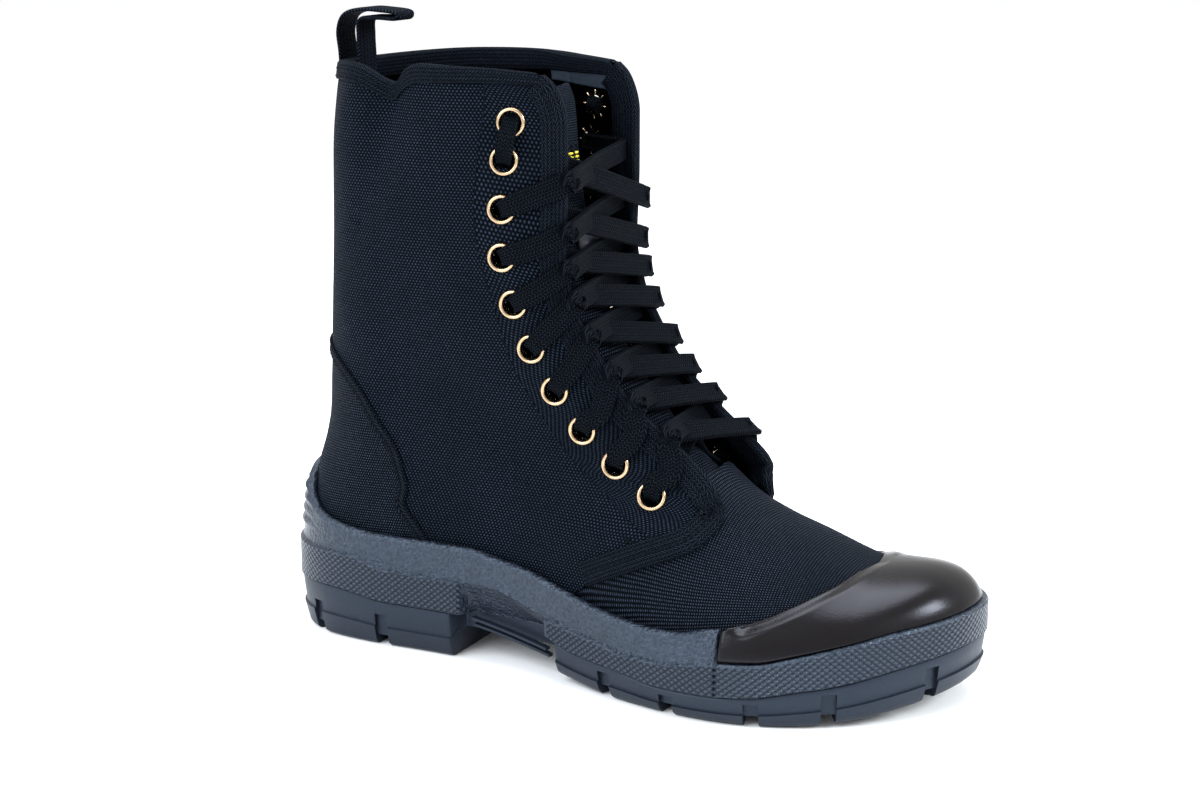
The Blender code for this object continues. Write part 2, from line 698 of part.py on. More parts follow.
def make_midsole():
    """Cup with band, rim and heel ribs."""
    made = swept("midsole", "rubber", sole_turns(), midsole_tracks())
    tracks = midsole_tracks()
    low_track, high_track = tracks[2], tracks[3]
    last = turn_at(RIB_REACH)
    turns = [turn for turn in sole_turns() if turn > 2.0 * math.pi - last]
    turns += [turn for turn in sole_turns() if turn < last]
    ribs = bmesh.new()
    for number in range(RIBS):
        height = RIB_FIRST + number * RIB_PITCH
        centres, sides, ups = [], [], []
        for turn in turns:
            low, high = low_track(turn), high_track(turn)
            wall = mix(low, high, (height - low.z) / (high.z - low.z))
            centres.append(wall + outward(turn) * (RIB_OUT - 1.8 * MM))
            sides.append(outward(turn) * 1.8 * MM)
            ups.append(Vector((0.0, 0.0, RIB_PITCH * 0.28)))
        swept_bar(ribs, centres, sides, ups)
    return combine(made, finish(ribs, "ribs", "rubber"), "UNION", crossing=False)


def sole_bottom(turn):
    """Height of the tread: flat heel and ball, raised arch, toe spring."""
    place = along_at(turn) * LENGTH
    arch = ARCH_RISE * in_arch(turn, HEEL_BREAST, FOREFOOT_START, 3.0 * MM)
    spring = TOE_SPRING * max(0.0, (place - 0.79 * LENGTH) / (0.21 * LENGTH)) ** 1.8
    lift = 4.0 * MM * max(0.0, (0.60 * LENGTH - place) / (0.14 * LENGTH)) ** 2
    ramp = lift if place > FOREFOOT_START - 3 * MM else 0.0
    return arch + spring + min(ramp, 4.5 * MM) * (1.0 - in_arch(turn, HEEL_BREAST, FOREFOOT_START, 3.0 * MM))


def outsole_tracks():
    """The outsole's section from the tread, round its side, to the joint."""
    def side_inset(turn, out):
        recess = in_arch(turn, HEEL_BREAST, FOREFOOT_START, 4.0 * MM)
        return mix(out, -ARCH_INSET - 1.0 * MM, recess)

    def tread(turn):
        return at_height(rim_offset(turn, side_inset(turn, -4.0 * MM)), sole_bottom(turn))

    def corner(turn):
        return at_height(rim_offset(turn, side_inset(turn, -1.4 * MM)), sole_bottom(turn) + 1.6 * MM)

    def step_low(turn):
        base = sole_bottom(turn)
        height = mix(base, band_low(turn), 0.42)
        return at_height(rim_offset(turn, side_inset(turn, 0.4 * MM)), height)

    def step_high(turn):
        base = sole_bottom(turn)
        height = mix(base, band_low(turn), 0.46)
        return at_height(rim_offset(turn, side_inset(turn, -0.5 * MM)), height)

    def joint(turn):
        return at_joint(rim_offset(turn, side_inset(turn, 0.8 * MM)), 0.0)

    return [tread, corner, step_low, step_high, joint]


# Slots in the sole's side, each the mouth of a groove across the tread: share of LENGTH, groove's reach
SLOTS = ((0.070, 15.0), (0.185, 15.0), (0.556, 18.0), (0.655, 21.0), (0.772, 21.0), (0.864, 18.0),
         (0.968, 14.0))


# Lugs under the shank: shares of LENGTH
SHANK_LUGS = (0.350, 0.385, 0.420)
LUG_HALF = 16.0 * MM
LUG_WIDTH = 6.0 * MM
LUG_DEEP = 5.0 * MM


def groove(mesh_data, start, end, width, bottom, top):
    """A straight cutter from start to end in plan."""
    run = (end - start).normalized()
    side = Vector((-run.y, run.x, 0.0)) * width / 2.0
    middle = (bottom + top) / 2.0
    high = Vector((0.0, 0.0, (top - bottom) / 2.0))
    swept_bar(mesh_data, [at_height(start, middle), at_height(end, middle)], [side, side], [high, high])


def make_outsole():
    """Heel block, shank and forefoot block with slots and grooves cut in."""
    made = swept("outsole", "tread", sole_turns(), outsole_tracks())
    lugs = bmesh.new()
    for place in SHANK_LUGS:
        middle = LENGTH * place
        groove(lugs, Vector((middle, -LUG_HALF, 0.0)), Vector((middle, LUG_HALF, 0.0)), LUG_WIDTH,
               ARCH_RISE - LUG_DEEP, ARCH_RISE + 3.0 * MM)
    combine(made, finish(lugs, "lugs", "tread"), "UNION", crossing=False)
    mesh_data = bmesh.new()
    for along, reach in SLOTS:
        turn = turn_at(along)
        for station in (turn, mirror_turn(turn)):
            base = sole_bottom(station)
            outside = rim_offset(station, 4.0 * MM)
            shallow = rim_offset(station, -2.0 * MM)
            deep = rim_offset(station, -reach * MM)
            high = min(base + SLOT_HEIGHT, band_low(station) - 2.5 * MM)
            groove(mesh_data, outside, shallow, SLOT_WIDTH, base - 6 * MM, high)
            groove(mesh_data, shallow + (outside - shallow) * 0.02, deep, SLOT_WIDTH, base - 6 * MM,
                   base + TREAD_DEPTH)
    bmesh.ops.translate(mesh_data, verts=mesh_data.verts, vec=(-HEEL_CENTRE, 0.0, 0.0))
    mesh = bpy.data.meshes.new("grooves")
    mesh_data.to_mesh(mesh)
    mesh_data.free()
    tool = bpy.data.objects.new("grooves", mesh)
    bpy.context.collection.objects.link(tool)
    return combine(made, tool, "DIFFERENCE")


# Upper

def quarter_rows(columns, rows):
    """Grid of the quarters' face."""
    return [[quarter_point(row, across) for across in columns] for row in rows]


def even(start, end, steps):
    """Evenly spaced numbers, both ends included."""
    return [start + (end - start) * number / steps for number in range(steps + 1)]


def quarter_mesh_rows():
    """Rows of the quarters, closer together below the flap's corner."""
    return even(0.0, CORNER_ROW, FLAP_ROWS) + even(CORNER_ROW, 1.0, SHAFT_ROWS)[1:]


def quarter_columns():
    """Columns from the inner throat edge round the back to the outer one."""
    arc = even(0.0, ARC_SHARE, ARC_STEPS)
    side = even(ARC_SHARE, 0.925, SIDE_STEPS - 1)[1:] + [0.965, 1.0]
    half = arc + side
    return list(reversed(half)) + [-item for item in half[1:]]


def lower_edge_turn(climb):
    """Station of the vamp's hidden back edge at a climb, a tape's width behind the quarter's edge."""
    places = Table((0.0, 0.455), (0.09, 0.473), (0.255, 0.544), (0.49, 0.618), (0.63, 0.632), (1.0, 0.648))
    return turn_at(places.at(climb))


def vamp_rows():
    """Grid of the vamp: rows climb from the sole to the ridge, columns go round the toe."""
    rows = []
    for climb in even(0.0, 1.0, VAMP_ROWS):
        start = lower_edge_turn(climb)
        end = mirror_turn(start)
        spread = even(0.0, 1.0, 2 * VAMP_COLUMNS)
        foot = Vector((0.0, 0.0, 0.4 * MM if climb == 0.0 else 0.0))
        rows.append([vamp_point(mix(start, end, share), climb) + foot for share in spread])
    return rows


def make_upper(eyelets):
    """Quarters and vamp in one hollow solid, with the eyelet holes cut through."""
    columns = quarter_columns()
    quarters = sheet("upper", "canvas", quarter_rows(columns, quarter_mesh_rows()), 0.0, -CANVAS)
    vamp = sheet("vamp", "canvas", vamp_rows(), -VAMP_INSET, -VAMP_INSET - VAMP_WALL)
    upper = combine(quarters, vamp, "UNION", 0.02 * MM)
    holes = bmesh.new()
    for centre, normal, edge_row, row, across in eyelets:
        turn = normal.to_track_quat("Z", "Y").to_matrix().to_4x4()
        turn.translation = centre
        bmesh.ops.create_cone(holes, cap_ends=True, segments=6, radius1=HOLE_RADIUS, radius2=HOLE_RADIUS,
                              depth=4.0 * CANVAS, matrix=turn)
    bmesh.ops.translate(holes, verts=holes.verts, vec=(-HEEL_CENTRE, 0.0, 0.0))
    mesh = bpy.data.meshes.new("holes")
    holes.to_mesh(mesh)
    holes.free()
    tool = bpy.data.objects.new("holes", mesh)
    bpy.context.collection.objects.link(tool)
    return combine(upper, tool, "DIFFERENCE", 0.02 * MM)


def eyelet_places(side):
    """One side's eyelets behind the throat's edge: centre, normal, edge's row, own row and column."""
    trail = []
    edge_rows = even(0.30, 1.0, 70)
    for row in edge_rows:
        edge, normal, up, along = quarter_frame(row, side * 0.999)
        ahead = quarter_point(min(row + 0.01, 1.0), side) - quarter_point(row - 0.01, side)
        inward = normal.cross(ahead).normalized() * side
        guess = edge - inward * EYELET_INSET.at(row) * MM
        trail.append(nearest(guess, side, row))
    trail.reverse()
    edge_rows.reverse()
    first = next(number for number, (row, across) in enumerate(trail)
                 if quarter_point(row, across).z <= EYELET_FIRST)
    places = []
    travelled = 0.0
    target = 0.0
    here = quarter_point(*trail[first])
    for number in range(first, len(trail)):
        there = quarter_point(*trail[number])
        length = (there - here).length
        while travelled + length >= target and len(places) < EYELETS:
            share = (target - travelled) / length if length > 0.0 else 0.0
            before = trail[max(number - 1, first)]
            row = mix(before[0], trail[number][0], share)
            across = mix(before[1], trail[number][1], share)
            point, normal, up, along = quarter_frame(row, across)
            edge_row = mix(edge_rows[max(number - 1, first)], edge_rows[number], share)
            places.append((point, normal, edge_row, row, across))
            target += EYELET_PITCH
        travelled += length
        here = there
    return places


def nearest(target, side, row):
    """Row and column of the quarters' face nearest to a point, by a shrinking search."""
    best = (row, side * 0.85)
    reach = 0.12
    while reach > 0.0004:
        choices = []
        for row_step in (-reach, 0.0, reach):
            for across_step in (-reach, 0.0, reach):
                here_row = min(max(best[0] + row_step, 0.0), 1.0)
                here_across = side * min(max(abs(best[1] + across_step), 0.0), 1.0)
                distance = (quarter_point(here_row, here_across) - target).length
                choices.append((distance, here_row, here_across))
        choices.sort()
        if choices[0][1:] == best:
            reach *= 0.5
        best = choices[0][1:]
    return best


def row_at(across, height):
    """Row of the quarters' face at a column and height."""
    low = 0.0
    high = 1.0
    for number in range(30):
        middle = (low + high) / 2.0
        if quarter_point(middle, across).z < height:
            low = middle
        else:
            high = middle
    return (low + high) / 2.0


def tape_along(name, path, start, end, steps, low=GAP + CURVE_ROOM):
    """Tape on the quarters beside a path of rows and columns, from one distance beside it to another."""
    rows = []
    places = [quarter_frame(row, across) for row, across in path]
    for number, (point, normal, up, along) in enumerate(places):
        before = places[max(number - 1, 0)][0]
        after = places[min(number + 1, len(places) - 1)][0]
        beside = normal.cross(after - before).normalized()
        row, across = path[number]
        side = -1.0 if across < 0.0 else 1.0
        section = []
        for share in even(0.0, 1.0, steps):
            distance = mix(start, end, share)
            if abs(distance) < 0.01 * MM:
                section.append(point)
            elif abs(across) < 0.05:
                section.append(point + beside * distance)
            else:
                section.append(quarter_point(*nearest(point + beside * distance, side, row)))
        rows.append(section)
    face = (rows[1][0] - rows[0][0]).cross(rows[0][1] - rows[0][0])
    if face.dot(places[0][1]) > 0.0:
        rows = [list(reversed(section)) for section in rows]
    return sheet(name, "tape", rows, low + TAPE, low)


def make_tapes():
    """Tape along each throat edge and the lower front edge, round the collar, round the counter, up the back."""
    for name, side in (("edge_tape_lateral", -1.0), ("edge_tape_medial", 1.0)):
        rows = [row for row in quarter_mesh_rows() if 0.14 < row < 0.97] + [0.995]
        path = [(row, side * 0.999) for row in rows]
        width = TAPE_WIDTH if side < 0.0 else -TAPE_WIDTH
        tape_along(name, path, 0.0, width, 1, EDGE_ROOM)
    path = [(0.998, across) for across in quarter_columns() if abs(across) < 0.94]
    tape_along("collar_tape", path, 0.0, -COLLAR_TAPE_WIDTH, 1)
    path = []
    for across in even(-0.575, 0.575, 22):
        path.append((row_at(across, COUNTER_EDGE.at(abs(across)) * MM), across))
    half = COUNTER_TAPE_WIDTH / 2.0
    tape_along("counter_tape", path, -half, half, 1)
    low = row_at(0.0, COUNTER_EDGE.at(0.0) * MM + half + GAP + 0.5 * MM)
    high = row_at(0.0, quarter_point(1.0, 0.0).z - COLLAR_TAPE_WIDTH - GAP - 0.5 * MM)
    reach = STRIP_WIDTH / 2.0 / HEEL_ARC / (math.pi / 2.0) * ARC_SHARE
    rows = [[quarter_point(row, across) for across in (reach, 0.0, -reach)] for row in even(low, high, 5)]
    lift = GAP + CURVE_ROOM
    sheet("back_strip", "tape", rows, lift + TAPE, lift)


def ribbon(mesh_data, points, ups, width, thick):
    """A flat strip through points, each with the direction its face looks."""
    sides = []
    highs = []
    for number, point in enumerate(points):
        before = points[max(number - 1, 0)]
        after = points[min(number + 1, len(points) - 1)]
        run = (after - before).normalized()
        side = run.cross(ups[number]).normalized()
        sides.append(side * width / 2.0)
        highs.append(side.cross(run).normalized() * thick / 2.0)
    swept_bar(mesh_data, points, sides, highs)


def make_pull_loop():
    """Webbing loop sewn to the back of the collar, bent forward over it."""
    base = quarter_point(1.0, 0.0)
    points = [base + Vector((forward * MM, 0.0, high * MM)) for forward, high in PULL_LOOP]
    ups = []
    for number, point in enumerate(points):
        before = points[max(number - 1, 0)]
        after = points[min(number + 1, len(points) - 1)]
        run = (after - before).normalized()
        ups.append(Vector((-run.z, 0.0, run.x)))
    mesh_data = bmesh.new()
    ribbon(mesh_data, points, ups, LOOP_WIDTH, LOOP_THICK)
    return finish(mesh_data, "pull_loop", "tape")


def tongue_frame(place):
    """Middle point of the tongue's front face, its direction upwards and the direction its face looks."""
    def point(share):
        share = min(max(share, 0.0), 1.0)
        return Vector((TONGUE.at(share, 1) * LENGTH, 0.0, TONGUE.at(share, 2) * COLLAR))
    run = (point(place + 0.02) - point(place - 0.02)).normalized()
    return point(place), run, Vector((abs(run.z), 0.0, abs(run.x)))


def make_keeper():
    """Small leather loop on the tongue's front."""
    centre, run, front = tongue_frame(KEEPER_PLACE)
    half = TONGUE.at(KEEPER_PLACE, 3) * SHAFT_HALF
    rows = []
    for share in even(-0.5, 0.5, 2):
        row = []
        for across in even(-1.0, 1.0, 6):
            reach = across * KEEPER_WIDTH / 2.0 / half
            sag = TONGUE_SAG * (1.0 - math.cos(reach * math.pi / 2.0))
            row.append(centre + run * share * KEEPER_HIGH + Vector((0.0, reach * half, 0.0)) - front * sag)
        rows.append(row)
    return sheet("tongue_keeper", "leather", rows, GAP + KEEPER_THICK + 0.3 * MM, GAP + 0.3 * MM)


def edge_place(row, side):
    """Point, normal and inward direction of the throat's edge at a row."""
    point, normal, up, along = quarter_frame(row, side * 0.999)
    ahead = quarter_point(min(row + 0.01, 1.0), side) - quarter_point(row - 0.01, side)
    return point, normal, ahead.normalized()


def lace_bar(mesh_data, low_eyelet, high_eyelet, side, layer):
    """One lace from an eyelet over its own edge and under the other edge, at the height of the next eyelet up."""
    centre, normal, edge_row, row, across = low_eyelet
    over = EDGE_ROOM + TAPE + GAP + CURVE_ROOM + LACE_THICK / 2.0
    under = CANVAS + GAP + CURVE_ROOM + LACE_THICK / 2.0
    points = []
    ups = []
    edge, edge_normal, ahead = edge_place(edge_row, side)
    reach = (edge - centre).length
    first = (EYELET_RADIUS + 1.2 * MM) / reach
    for share in (first, mix(first, 1.0, 0.5)):
        point, up, rise, along = quarter_frame(mix(row, edge_row, share), mix(across, side * 0.999, share))
        points.append(point + up * over)
        ups.append(up)
    far_edge, far_normal, far_ahead = edge_place(high_eyelet[2], -side)
    toward = (edge - centre).normalized()
    away = (high_eyelet[0] - far_edge).normalized()
    points.append(edge + toward * 1.4 * MM + edge_normal * (over + 0.3 * MM))
    ups.append(edge_normal)
    bend = edge + toward * (GAP + LACE_THICK / 2.0 + 3.4 * MM) + edge_normal * 1.2 * MM
    near_end = far_edge + away * 2.0 * MM - far_normal * under
    end = far_edge + away * 8.0 * MM - far_normal * under
    front = edge_normal + far_normal
    front.y = 0.0
    front.normalize()
    across_throat = (near_end - bend).normalized()
    looks = (front - across_throat * front.dot(across_throat)).normalized()
    points += [bend, (bend + near_end) / 2.0 + front * layer, near_end, end]
    ups += [(edge_normal + looks).normalized(), looks, (looks + far_normal).normalized(), far_normal]
    ribbon(mesh_data, points, ups, LACE_WIDTH, LACE_THICK)


def make_laces(outer_side, inner_side):
    """Crossings, each the two laces joined where they cross, and the loop between the two top eyelets."""
    for number in range(LACE_BARS):
        pieces = []
        for label, low, high, side, layer in (("outer", outer_side[number + 2], inner_side[number + 1], -1.0, -0.45),
                                              ("inner", inner_side[number + 2], outer_side[number + 1], 1.0, 0.45)):
            mesh_data = bmesh.new()
            lace_bar(mesh_data, low, high, side, layer * LACE_THICK)
            pieces.append(finish(mesh_data, f"lace_crossing_{number + 1}" if label == "outer" else "bar", "lace"))
        combine(pieces[0], pieces[1], "UNION")
    for label, places in (("lateral", outer_side), ("medial", inner_side)):
        low, high = places[1], places[0]
        start = low[0] + low[1] * (GAP + CURVE_ROOM + EYELET_HIGH + GAP + LACE_THICK / 2.0)
        end = high[0] + high[1] * (GAP + CURVE_ROOM + EYELET_HIGH + GAP + LACE_THICK / 2.0)
        points = [mix(start, end, share) + low[1] * 1.6 * MM * math.sin(share * math.pi) for share in even(0.0, 1.0, 4)]
        mesh_data = bmesh.new()
        ribbon(mesh_data, points, [low[1]] * 5, LACE_WIDTH, LACE_THICK)
        finish(mesh_data, f"lace_loop_{label}", "lace")


def make_eyelet(name, centre, normal):
    """Brass ring standing on the canvas over its hole."""
    mesh_data = bmesh.new()
    turn = normal.to_track_quat("Z", "Y").to_matrix()
    rows = []
    low = GAP + CURVE_ROOM
    high = low + EYELET_HIGH
    section = ((EYELET_RADIUS, low), (EYELET_RADIUS - 0.7 * MM, high), (EYELET_HOLE + 0.6 * MM, high),
               (EYELET_HOLE, low))
    segments = 8
    for number in range(segments):
        angle = 2.0 * math.pi * number / segments
        flat = Vector((math.cos(angle), math.sin(angle), 0.0))
        rows.append([centre + turn @ (flat * radius + Vector((0.0, 0.0, rise))) for radius, rise in section])
    rows.append(rows[0])
    add_grid(mesh_data, rows, closed=True)
    return finish(mesh_data, name, "brass")


def make_toe_cap():
    """Bumper over the toe, its foot on the band's ledge."""
    inside = GAP + CURVE_ROOM - VAMP_INSET
    rows = []
    for climb in CAP_CLIMBS:
        reach = CAP_EDGE_CURVE.at(climb)
        station = mix(CAP_SEAM + 0.8 * MM, CAP_CREST, reach)
        start = turn_at(station / LENGTH)
        end = mirror_turn(start)
        row = []
        for share in even(0.0, 1.0, 20):
            turn = mix(start, end, share)
            base = floor_height(turn)
            peak = spine(turn).z
            low = (read(BAND_TOP, turn, RIM_HEIGHT) + GAP + CURVE_ROOM - base) / (peak - base)
            first = math.asin(min(low, 1.0)) / (math.pi / 2.0)
            row.append(vamp_point(turn, mix(first, 1.0, climb)))
        rows.append(row)

    def outer(place):
        return inside + CAP_EDGE + CAP_FOOT * ease((52.0 * MM - place.z) / (20.0 * MM))

    return sheet("toe_cap", "cap", rows, outer, inside)


def make_tongue():
    """Curved sheet behind the lacing, rooted under the vamp's back edge."""
    rows = []
    for place in even(0.0, 1.0, 10):
        centre = Vector((TONGUE.at(place, 1) * LENGTH, 0.0, TONGUE.at(place, 2) * COLLAR))
        ahead = Vector((TONGUE.at(min(place + 0.02, 1.0), 1) * LENGTH, 0.0,
                        TONGUE.at(min(place + 0.02, 1.0), 2) * COLLAR))
        behind = Vector((TONGUE.at(max(place - 0.02, 0.0), 1) * LENGTH, 0.0,
                         TONGUE.at(max(place - 0.02, 0.0), 2) * COLLAR))
        run = (ahead - behind).normalized()
        back = Vector((-abs(run.z), 0.0, -abs(run.x)))
        half = TONGUE.at(place, 3) * SHAFT_HALF
        row = []
        for across in even(-1.0, 1.0, 6):
            sag = TONGUE_SAG * (1.0 - math.cos(across * math.pi / 2.0))
            row.append(centre + Vector((0.0, across * half, 0.0)) + back * sag)
        rows.append(row)
    return sheet("tongue", "canvas", rows, 0.0, -TONGUE_WALL)


def make_insole():
    """Footbed on the cup's floor inside the upper's wall."""
    turns = sole_turns()
    inset = RIM_WALL + VAMP_INSET + VAMP_WALL + 0.8 * MM

    def track(height):
        return lambda turn: at_height(rim_offset(turn, -inset), floor_height(turn) + height)

    return swept("insole", "foam", turns, [track(0.0), track(INSOLE)])


def clear_scene():
    """Remove what the scene starts with."""
    for item in list(bpy.data.objects):
        bpy.data.objects.remove(item)


def main():
    """Build every piece."""
    clear_scene()
    outer_side = eyelet_places(-1.0)
    inner_side = eyelet_places(1.0)
    make_outsole()
    make_midsole()
    make_upper(outer_side + inner_side)
    make_toe_cap()
    make_tongue()
    make_insole()
    for label, places in (("lateral", outer_side), ("medial", inner_side)):
        for number, place in enumerate(places, start=1):
            make_eyelet(f"eyelet_{label}_{number}", place[0], place[1])
    make_tapes()
    make_pull_loop()
    make_keeper()
    make_laces(outer_side, inner_side)


main()
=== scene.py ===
"""Looks of a canvas safety boot for the right foot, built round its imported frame.

Metres throughout. +X is the toe, -Y the outer side, +Z up. Pieces are made in stations measured from the
heel's back, and finish_piece() moves them so that the origin lies under the middle of the heel.
"""
from __future__ import annotations

import json
import logging
import math
from bisect import bisect_right
from collections.abc import Callable, Sequence
from dataclasses import dataclass, field
from enum import Enum

import bmesh
import bpy
from mathutils import Matrix, Vector

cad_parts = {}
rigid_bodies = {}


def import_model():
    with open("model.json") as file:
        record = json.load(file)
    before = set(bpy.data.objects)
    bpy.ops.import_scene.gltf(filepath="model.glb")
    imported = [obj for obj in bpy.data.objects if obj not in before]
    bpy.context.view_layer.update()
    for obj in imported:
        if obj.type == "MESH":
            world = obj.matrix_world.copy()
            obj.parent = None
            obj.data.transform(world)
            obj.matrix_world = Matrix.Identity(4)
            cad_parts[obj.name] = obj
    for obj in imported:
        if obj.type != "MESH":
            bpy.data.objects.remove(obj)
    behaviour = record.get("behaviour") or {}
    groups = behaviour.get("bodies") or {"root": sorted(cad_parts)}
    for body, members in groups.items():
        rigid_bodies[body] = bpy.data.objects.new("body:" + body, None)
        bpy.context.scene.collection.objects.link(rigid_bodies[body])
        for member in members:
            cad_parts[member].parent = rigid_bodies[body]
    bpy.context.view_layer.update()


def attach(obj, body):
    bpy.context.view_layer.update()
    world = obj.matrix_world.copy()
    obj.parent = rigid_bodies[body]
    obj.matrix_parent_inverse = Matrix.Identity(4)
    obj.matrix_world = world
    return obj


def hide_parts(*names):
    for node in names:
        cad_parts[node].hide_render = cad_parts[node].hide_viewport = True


MM = 0.001
CHART = "chart"
LOG = logging.getLogger("boot")
SHAFT_MIDDLE = Vector((80.0 * MM, 0.0, 120.0 * MM))        # sheets of the upper face away from it
TONGUE_BACK = Vector((40.0 * MM, 0.0, 100.0 * MM))
COOL_TINT = (0.6, 0.78, 1.0, 1.0)        # specular tint of the dark cloth

# Driving sizes
LENGTH = 295.5 * MM
BALL = 111.0 * MM
COLLAR = 242.0 * MM
RIM_HEIGHT = 48.0 * MM
SHAFT_HALF = 43.5 * MM
HEEL_CENTRE = 38.0 * MM
HEEL_ARC = 38.0 * MM

# Walls
CANVAS = 2.2 * MM
VAMP_INSET = 1.2 * MM
VAMP_WALL = 1.8 * MM
RIM_WALL = 4.8 * MM
BAND_OUT = 1.5 * MM
TAPE_LIFT = 1.15 * MM        # tape's face above the canvas
TAPE = 0.9 * MM

# Sole stations
HEEL_BREAST = 89.0 * MM
FOREFOOT_START = 138.0 * MM
BAND_HEEL_END = 94.0 * MM
BAND_FORE_START = 133.0 * MM
CAP_SEAM = 214.5 * MM
CAP_CREST = 258.0 * MM
ARCH_RISE = 12.0 * MM
ARCH_INSET = 7.5 * MM
TOE_SPRING = 10.0 * MM
BALL_START = 0.60        # flat of the tread under the ball, as shares of LENGTH
BALL_END = 0.79
TREAD_DEPTH = 4.5 * MM
SLOT_WIDTH = 6.0 * MM
SLOT_HEIGHT = 14.0 * MM
SLOTS = ((0.070, 15.0), (0.185, 15.0), (0.556, 18.0), (0.655, 21.0), (0.772, 21.0), (0.864, 18.0),
         (0.968, 14.0))
SHANK_LUGS = (0.350, 0.385, 0.420)
RIDGES = ((17.5, -4.6), (14.2, -6.6))        # height and place beside the outline, in millimetres
RIDGE_START = 0.325
RIDGE_SPAN = 0.122
RIDGE_DROP = 6.0 * MM
GROOVES = ((0.03, 16.0), (0.12, 26.0), (0.60, 38.0), (0.71, 42.0), (0.82, 36.0), (0.92, 22.0))
CREST_END = 0.886
SECTION_ROUND = 2.2
CREASE_STEPS = 10
TURN_STEP = 0.01
FOLD_PLACE = -0.42        # soft fold beside the heel below the collar
FOLD_DEPTH = 8.0 * MM
COLLAR_CROWN = 2.5 * MM
CLING_FADE = 13.0 * MM


def cubic(start: float, end: float, leaving: float, arriving: float, share: float) -> float:
    """Cubic from one value to another.

    Args:
        start: Value at 0.
        end: Value at 1.
        leaving: Slope at 0.
        arriving: Slope at 1.
        share: Where to read it, from 0 to 1.

    Returns:
        The value there.
    """
    square = share * share
    cube = square * share
    return (start * (2 * cube - 3 * square + 1) + leaving * (cube - 2 * square + share)
            + end * (3 * square - 2 * cube) + arriving * (cube - square))


class Table:
    """A short table of rows whose first column is the place along it."""

    def __init__(self, *rows: Sequence[float]) -> None:
        """Keep the rows."""
        self.rows = rows
        self.places = [row[0] for row in rows]

    def step(self, row: int, column: int) -> float:
        """Straight slope from a row to the next."""
        rows = self.rows
        return (rows[row + 1][column] - rows[row][column]) / (rows[row + 1][0] - rows[row][0])

    def slope(self, row: int, column: int) -> float:
        """Slope at a row, without overshoot.

        Args:
            row: Number of the row.
            column: Which column.

        Returns:
            The slope.
        """
        if row in (0, len(self.rows) - 1):
            return self.step(min(row, len(self.rows) - 2), column)
        before = self.step(row - 1, column)
        after = self.step(row, column)
        return 0.0 if before * after <= 0.0 else 2.0 * before * after / (before + after)

    def at(self, place: float, column: int = 1) -> float:
        """Read a column smoothly.

        Args:
            place: Where along the table.
            column: Which column to read.

        Returns:
            The value there.
        """
        rows = self.rows
        place = min(max(place, self.places[0]), self.places[-1])
        low = min(max(bisect_right(self.places, place) - 1, 0), len(rows) - 2)
        width = self.places[low + 1] - self.places[low]
        return cubic(rows[low][column], rows[low + 1][column], self.slope(low, column) * width,
                     self.slope(low + 1, column) * width, (place - self.places[low]) / width)


# Sole outline from above, round from the heel by the outer side: share of LENGTH, share of BALL
OUTLINE = (
    (0.000, 0.000), (0.020, -0.194), (0.076, -0.314), (0.155, -0.347), (0.271, -0.342),
    (0.370, -0.351), (0.469, -0.396), (0.569, -0.468), (0.668, -0.514), (0.750, -0.505),
    (0.833, -0.432), (0.899, -0.333), (0.959, -0.171), (0.993, 0.000), (1.000, 0.126),
    (0.983, 0.270), (0.940, 0.387), (0.871, 0.459), (0.782, 0.486), (0.683, 0.468),
    (0.567, 0.387), (0.451, 0.324), (0.336, 0.311), (0.203, 0.333), (0.088, 0.315),
    (0.020, 0.198),
)
TOE_ROW = 14

# Heights along the sole: share of LENGTH, share of RIM_HEIGHT
BAND_LOW = Table(
    (0.000, 0.427), (0.096, 0.469), (0.136, 0.450), (0.192, 0.406), (0.304, 0.400),
    (0.443, 0.396), (0.496, 0.312), (0.585, 0.267), (0.645, 0.225), (0.717, 0.229),
    (0.774, 0.254), (0.823, 0.312), (0.879, 0.375), (0.929, 0.460), (1.000, 0.560),
)
BAND_TOP = Table(
    (0.000, 0.802), (0.136, 0.792), (0.195, 0.713), (0.311, 0.700), (0.370, 0.688),
    (0.443, 0.573), (0.486, 0.521), (0.552, 0.471), (0.585, 0.438), (0.645, 0.442),
    (0.717, 0.510), (0.777, 0.533), (0.823, 0.600), (0.879, 0.690), (0.929, 0.770),
    (1.000, 0.835),
)
RIM = Table(
    (0.000, 1.458), (0.013, 1.375), (0.040, 1.208), (0.073, 1.104), (0.106, 1.054),
    (0.136, 1.025), (0.192, 1.004), (0.321, 1.000), (0.370, 0.954), (0.420, 0.908),
    (0.463, 0.838), (0.512, 0.767), (0.569, 0.713), (0.615, 0.688), (0.661, 0.692),
    (0.711, 0.756), (1.000, 0.917),
)
FLOOR = Table(
    (0.000, 0.625), (0.136, 0.604), (0.268, 0.625), (0.350, 0.667), (0.417, 0.635),
    (0.499, 0.510), (0.582, 0.427), (0.664, 0.406), (0.747, 0.417), (0.830, 0.490),
    (0.912, 0.604), (1.000, 0.708),
)
CREST = Table(
    (0.000, 3.719), (0.268, 2.893), (0.367, 1.653), (0.433, 1.116), (0.483, 0.806),
    (0.532, 0.570), (0.582, 0.450), (0.631, 0.375), (0.683, 0.322), (0.731, 0.291),
    (0.783, 0.263), (0.852, 0.228), (0.886, 0.217),
)
CLING = Table(
    (0.000, 0.298), (0.136, 0.240), (0.400, 0.240), (0.499, 0.248), (0.549, 0.262),
    (0.621, 0.272), (0.684, 0.281),
)
LEAN = Table((0.124, 0.000), (0.190, 0.002), (0.264, 0.009), (0.331, 0.019), (0.384, 0.029))

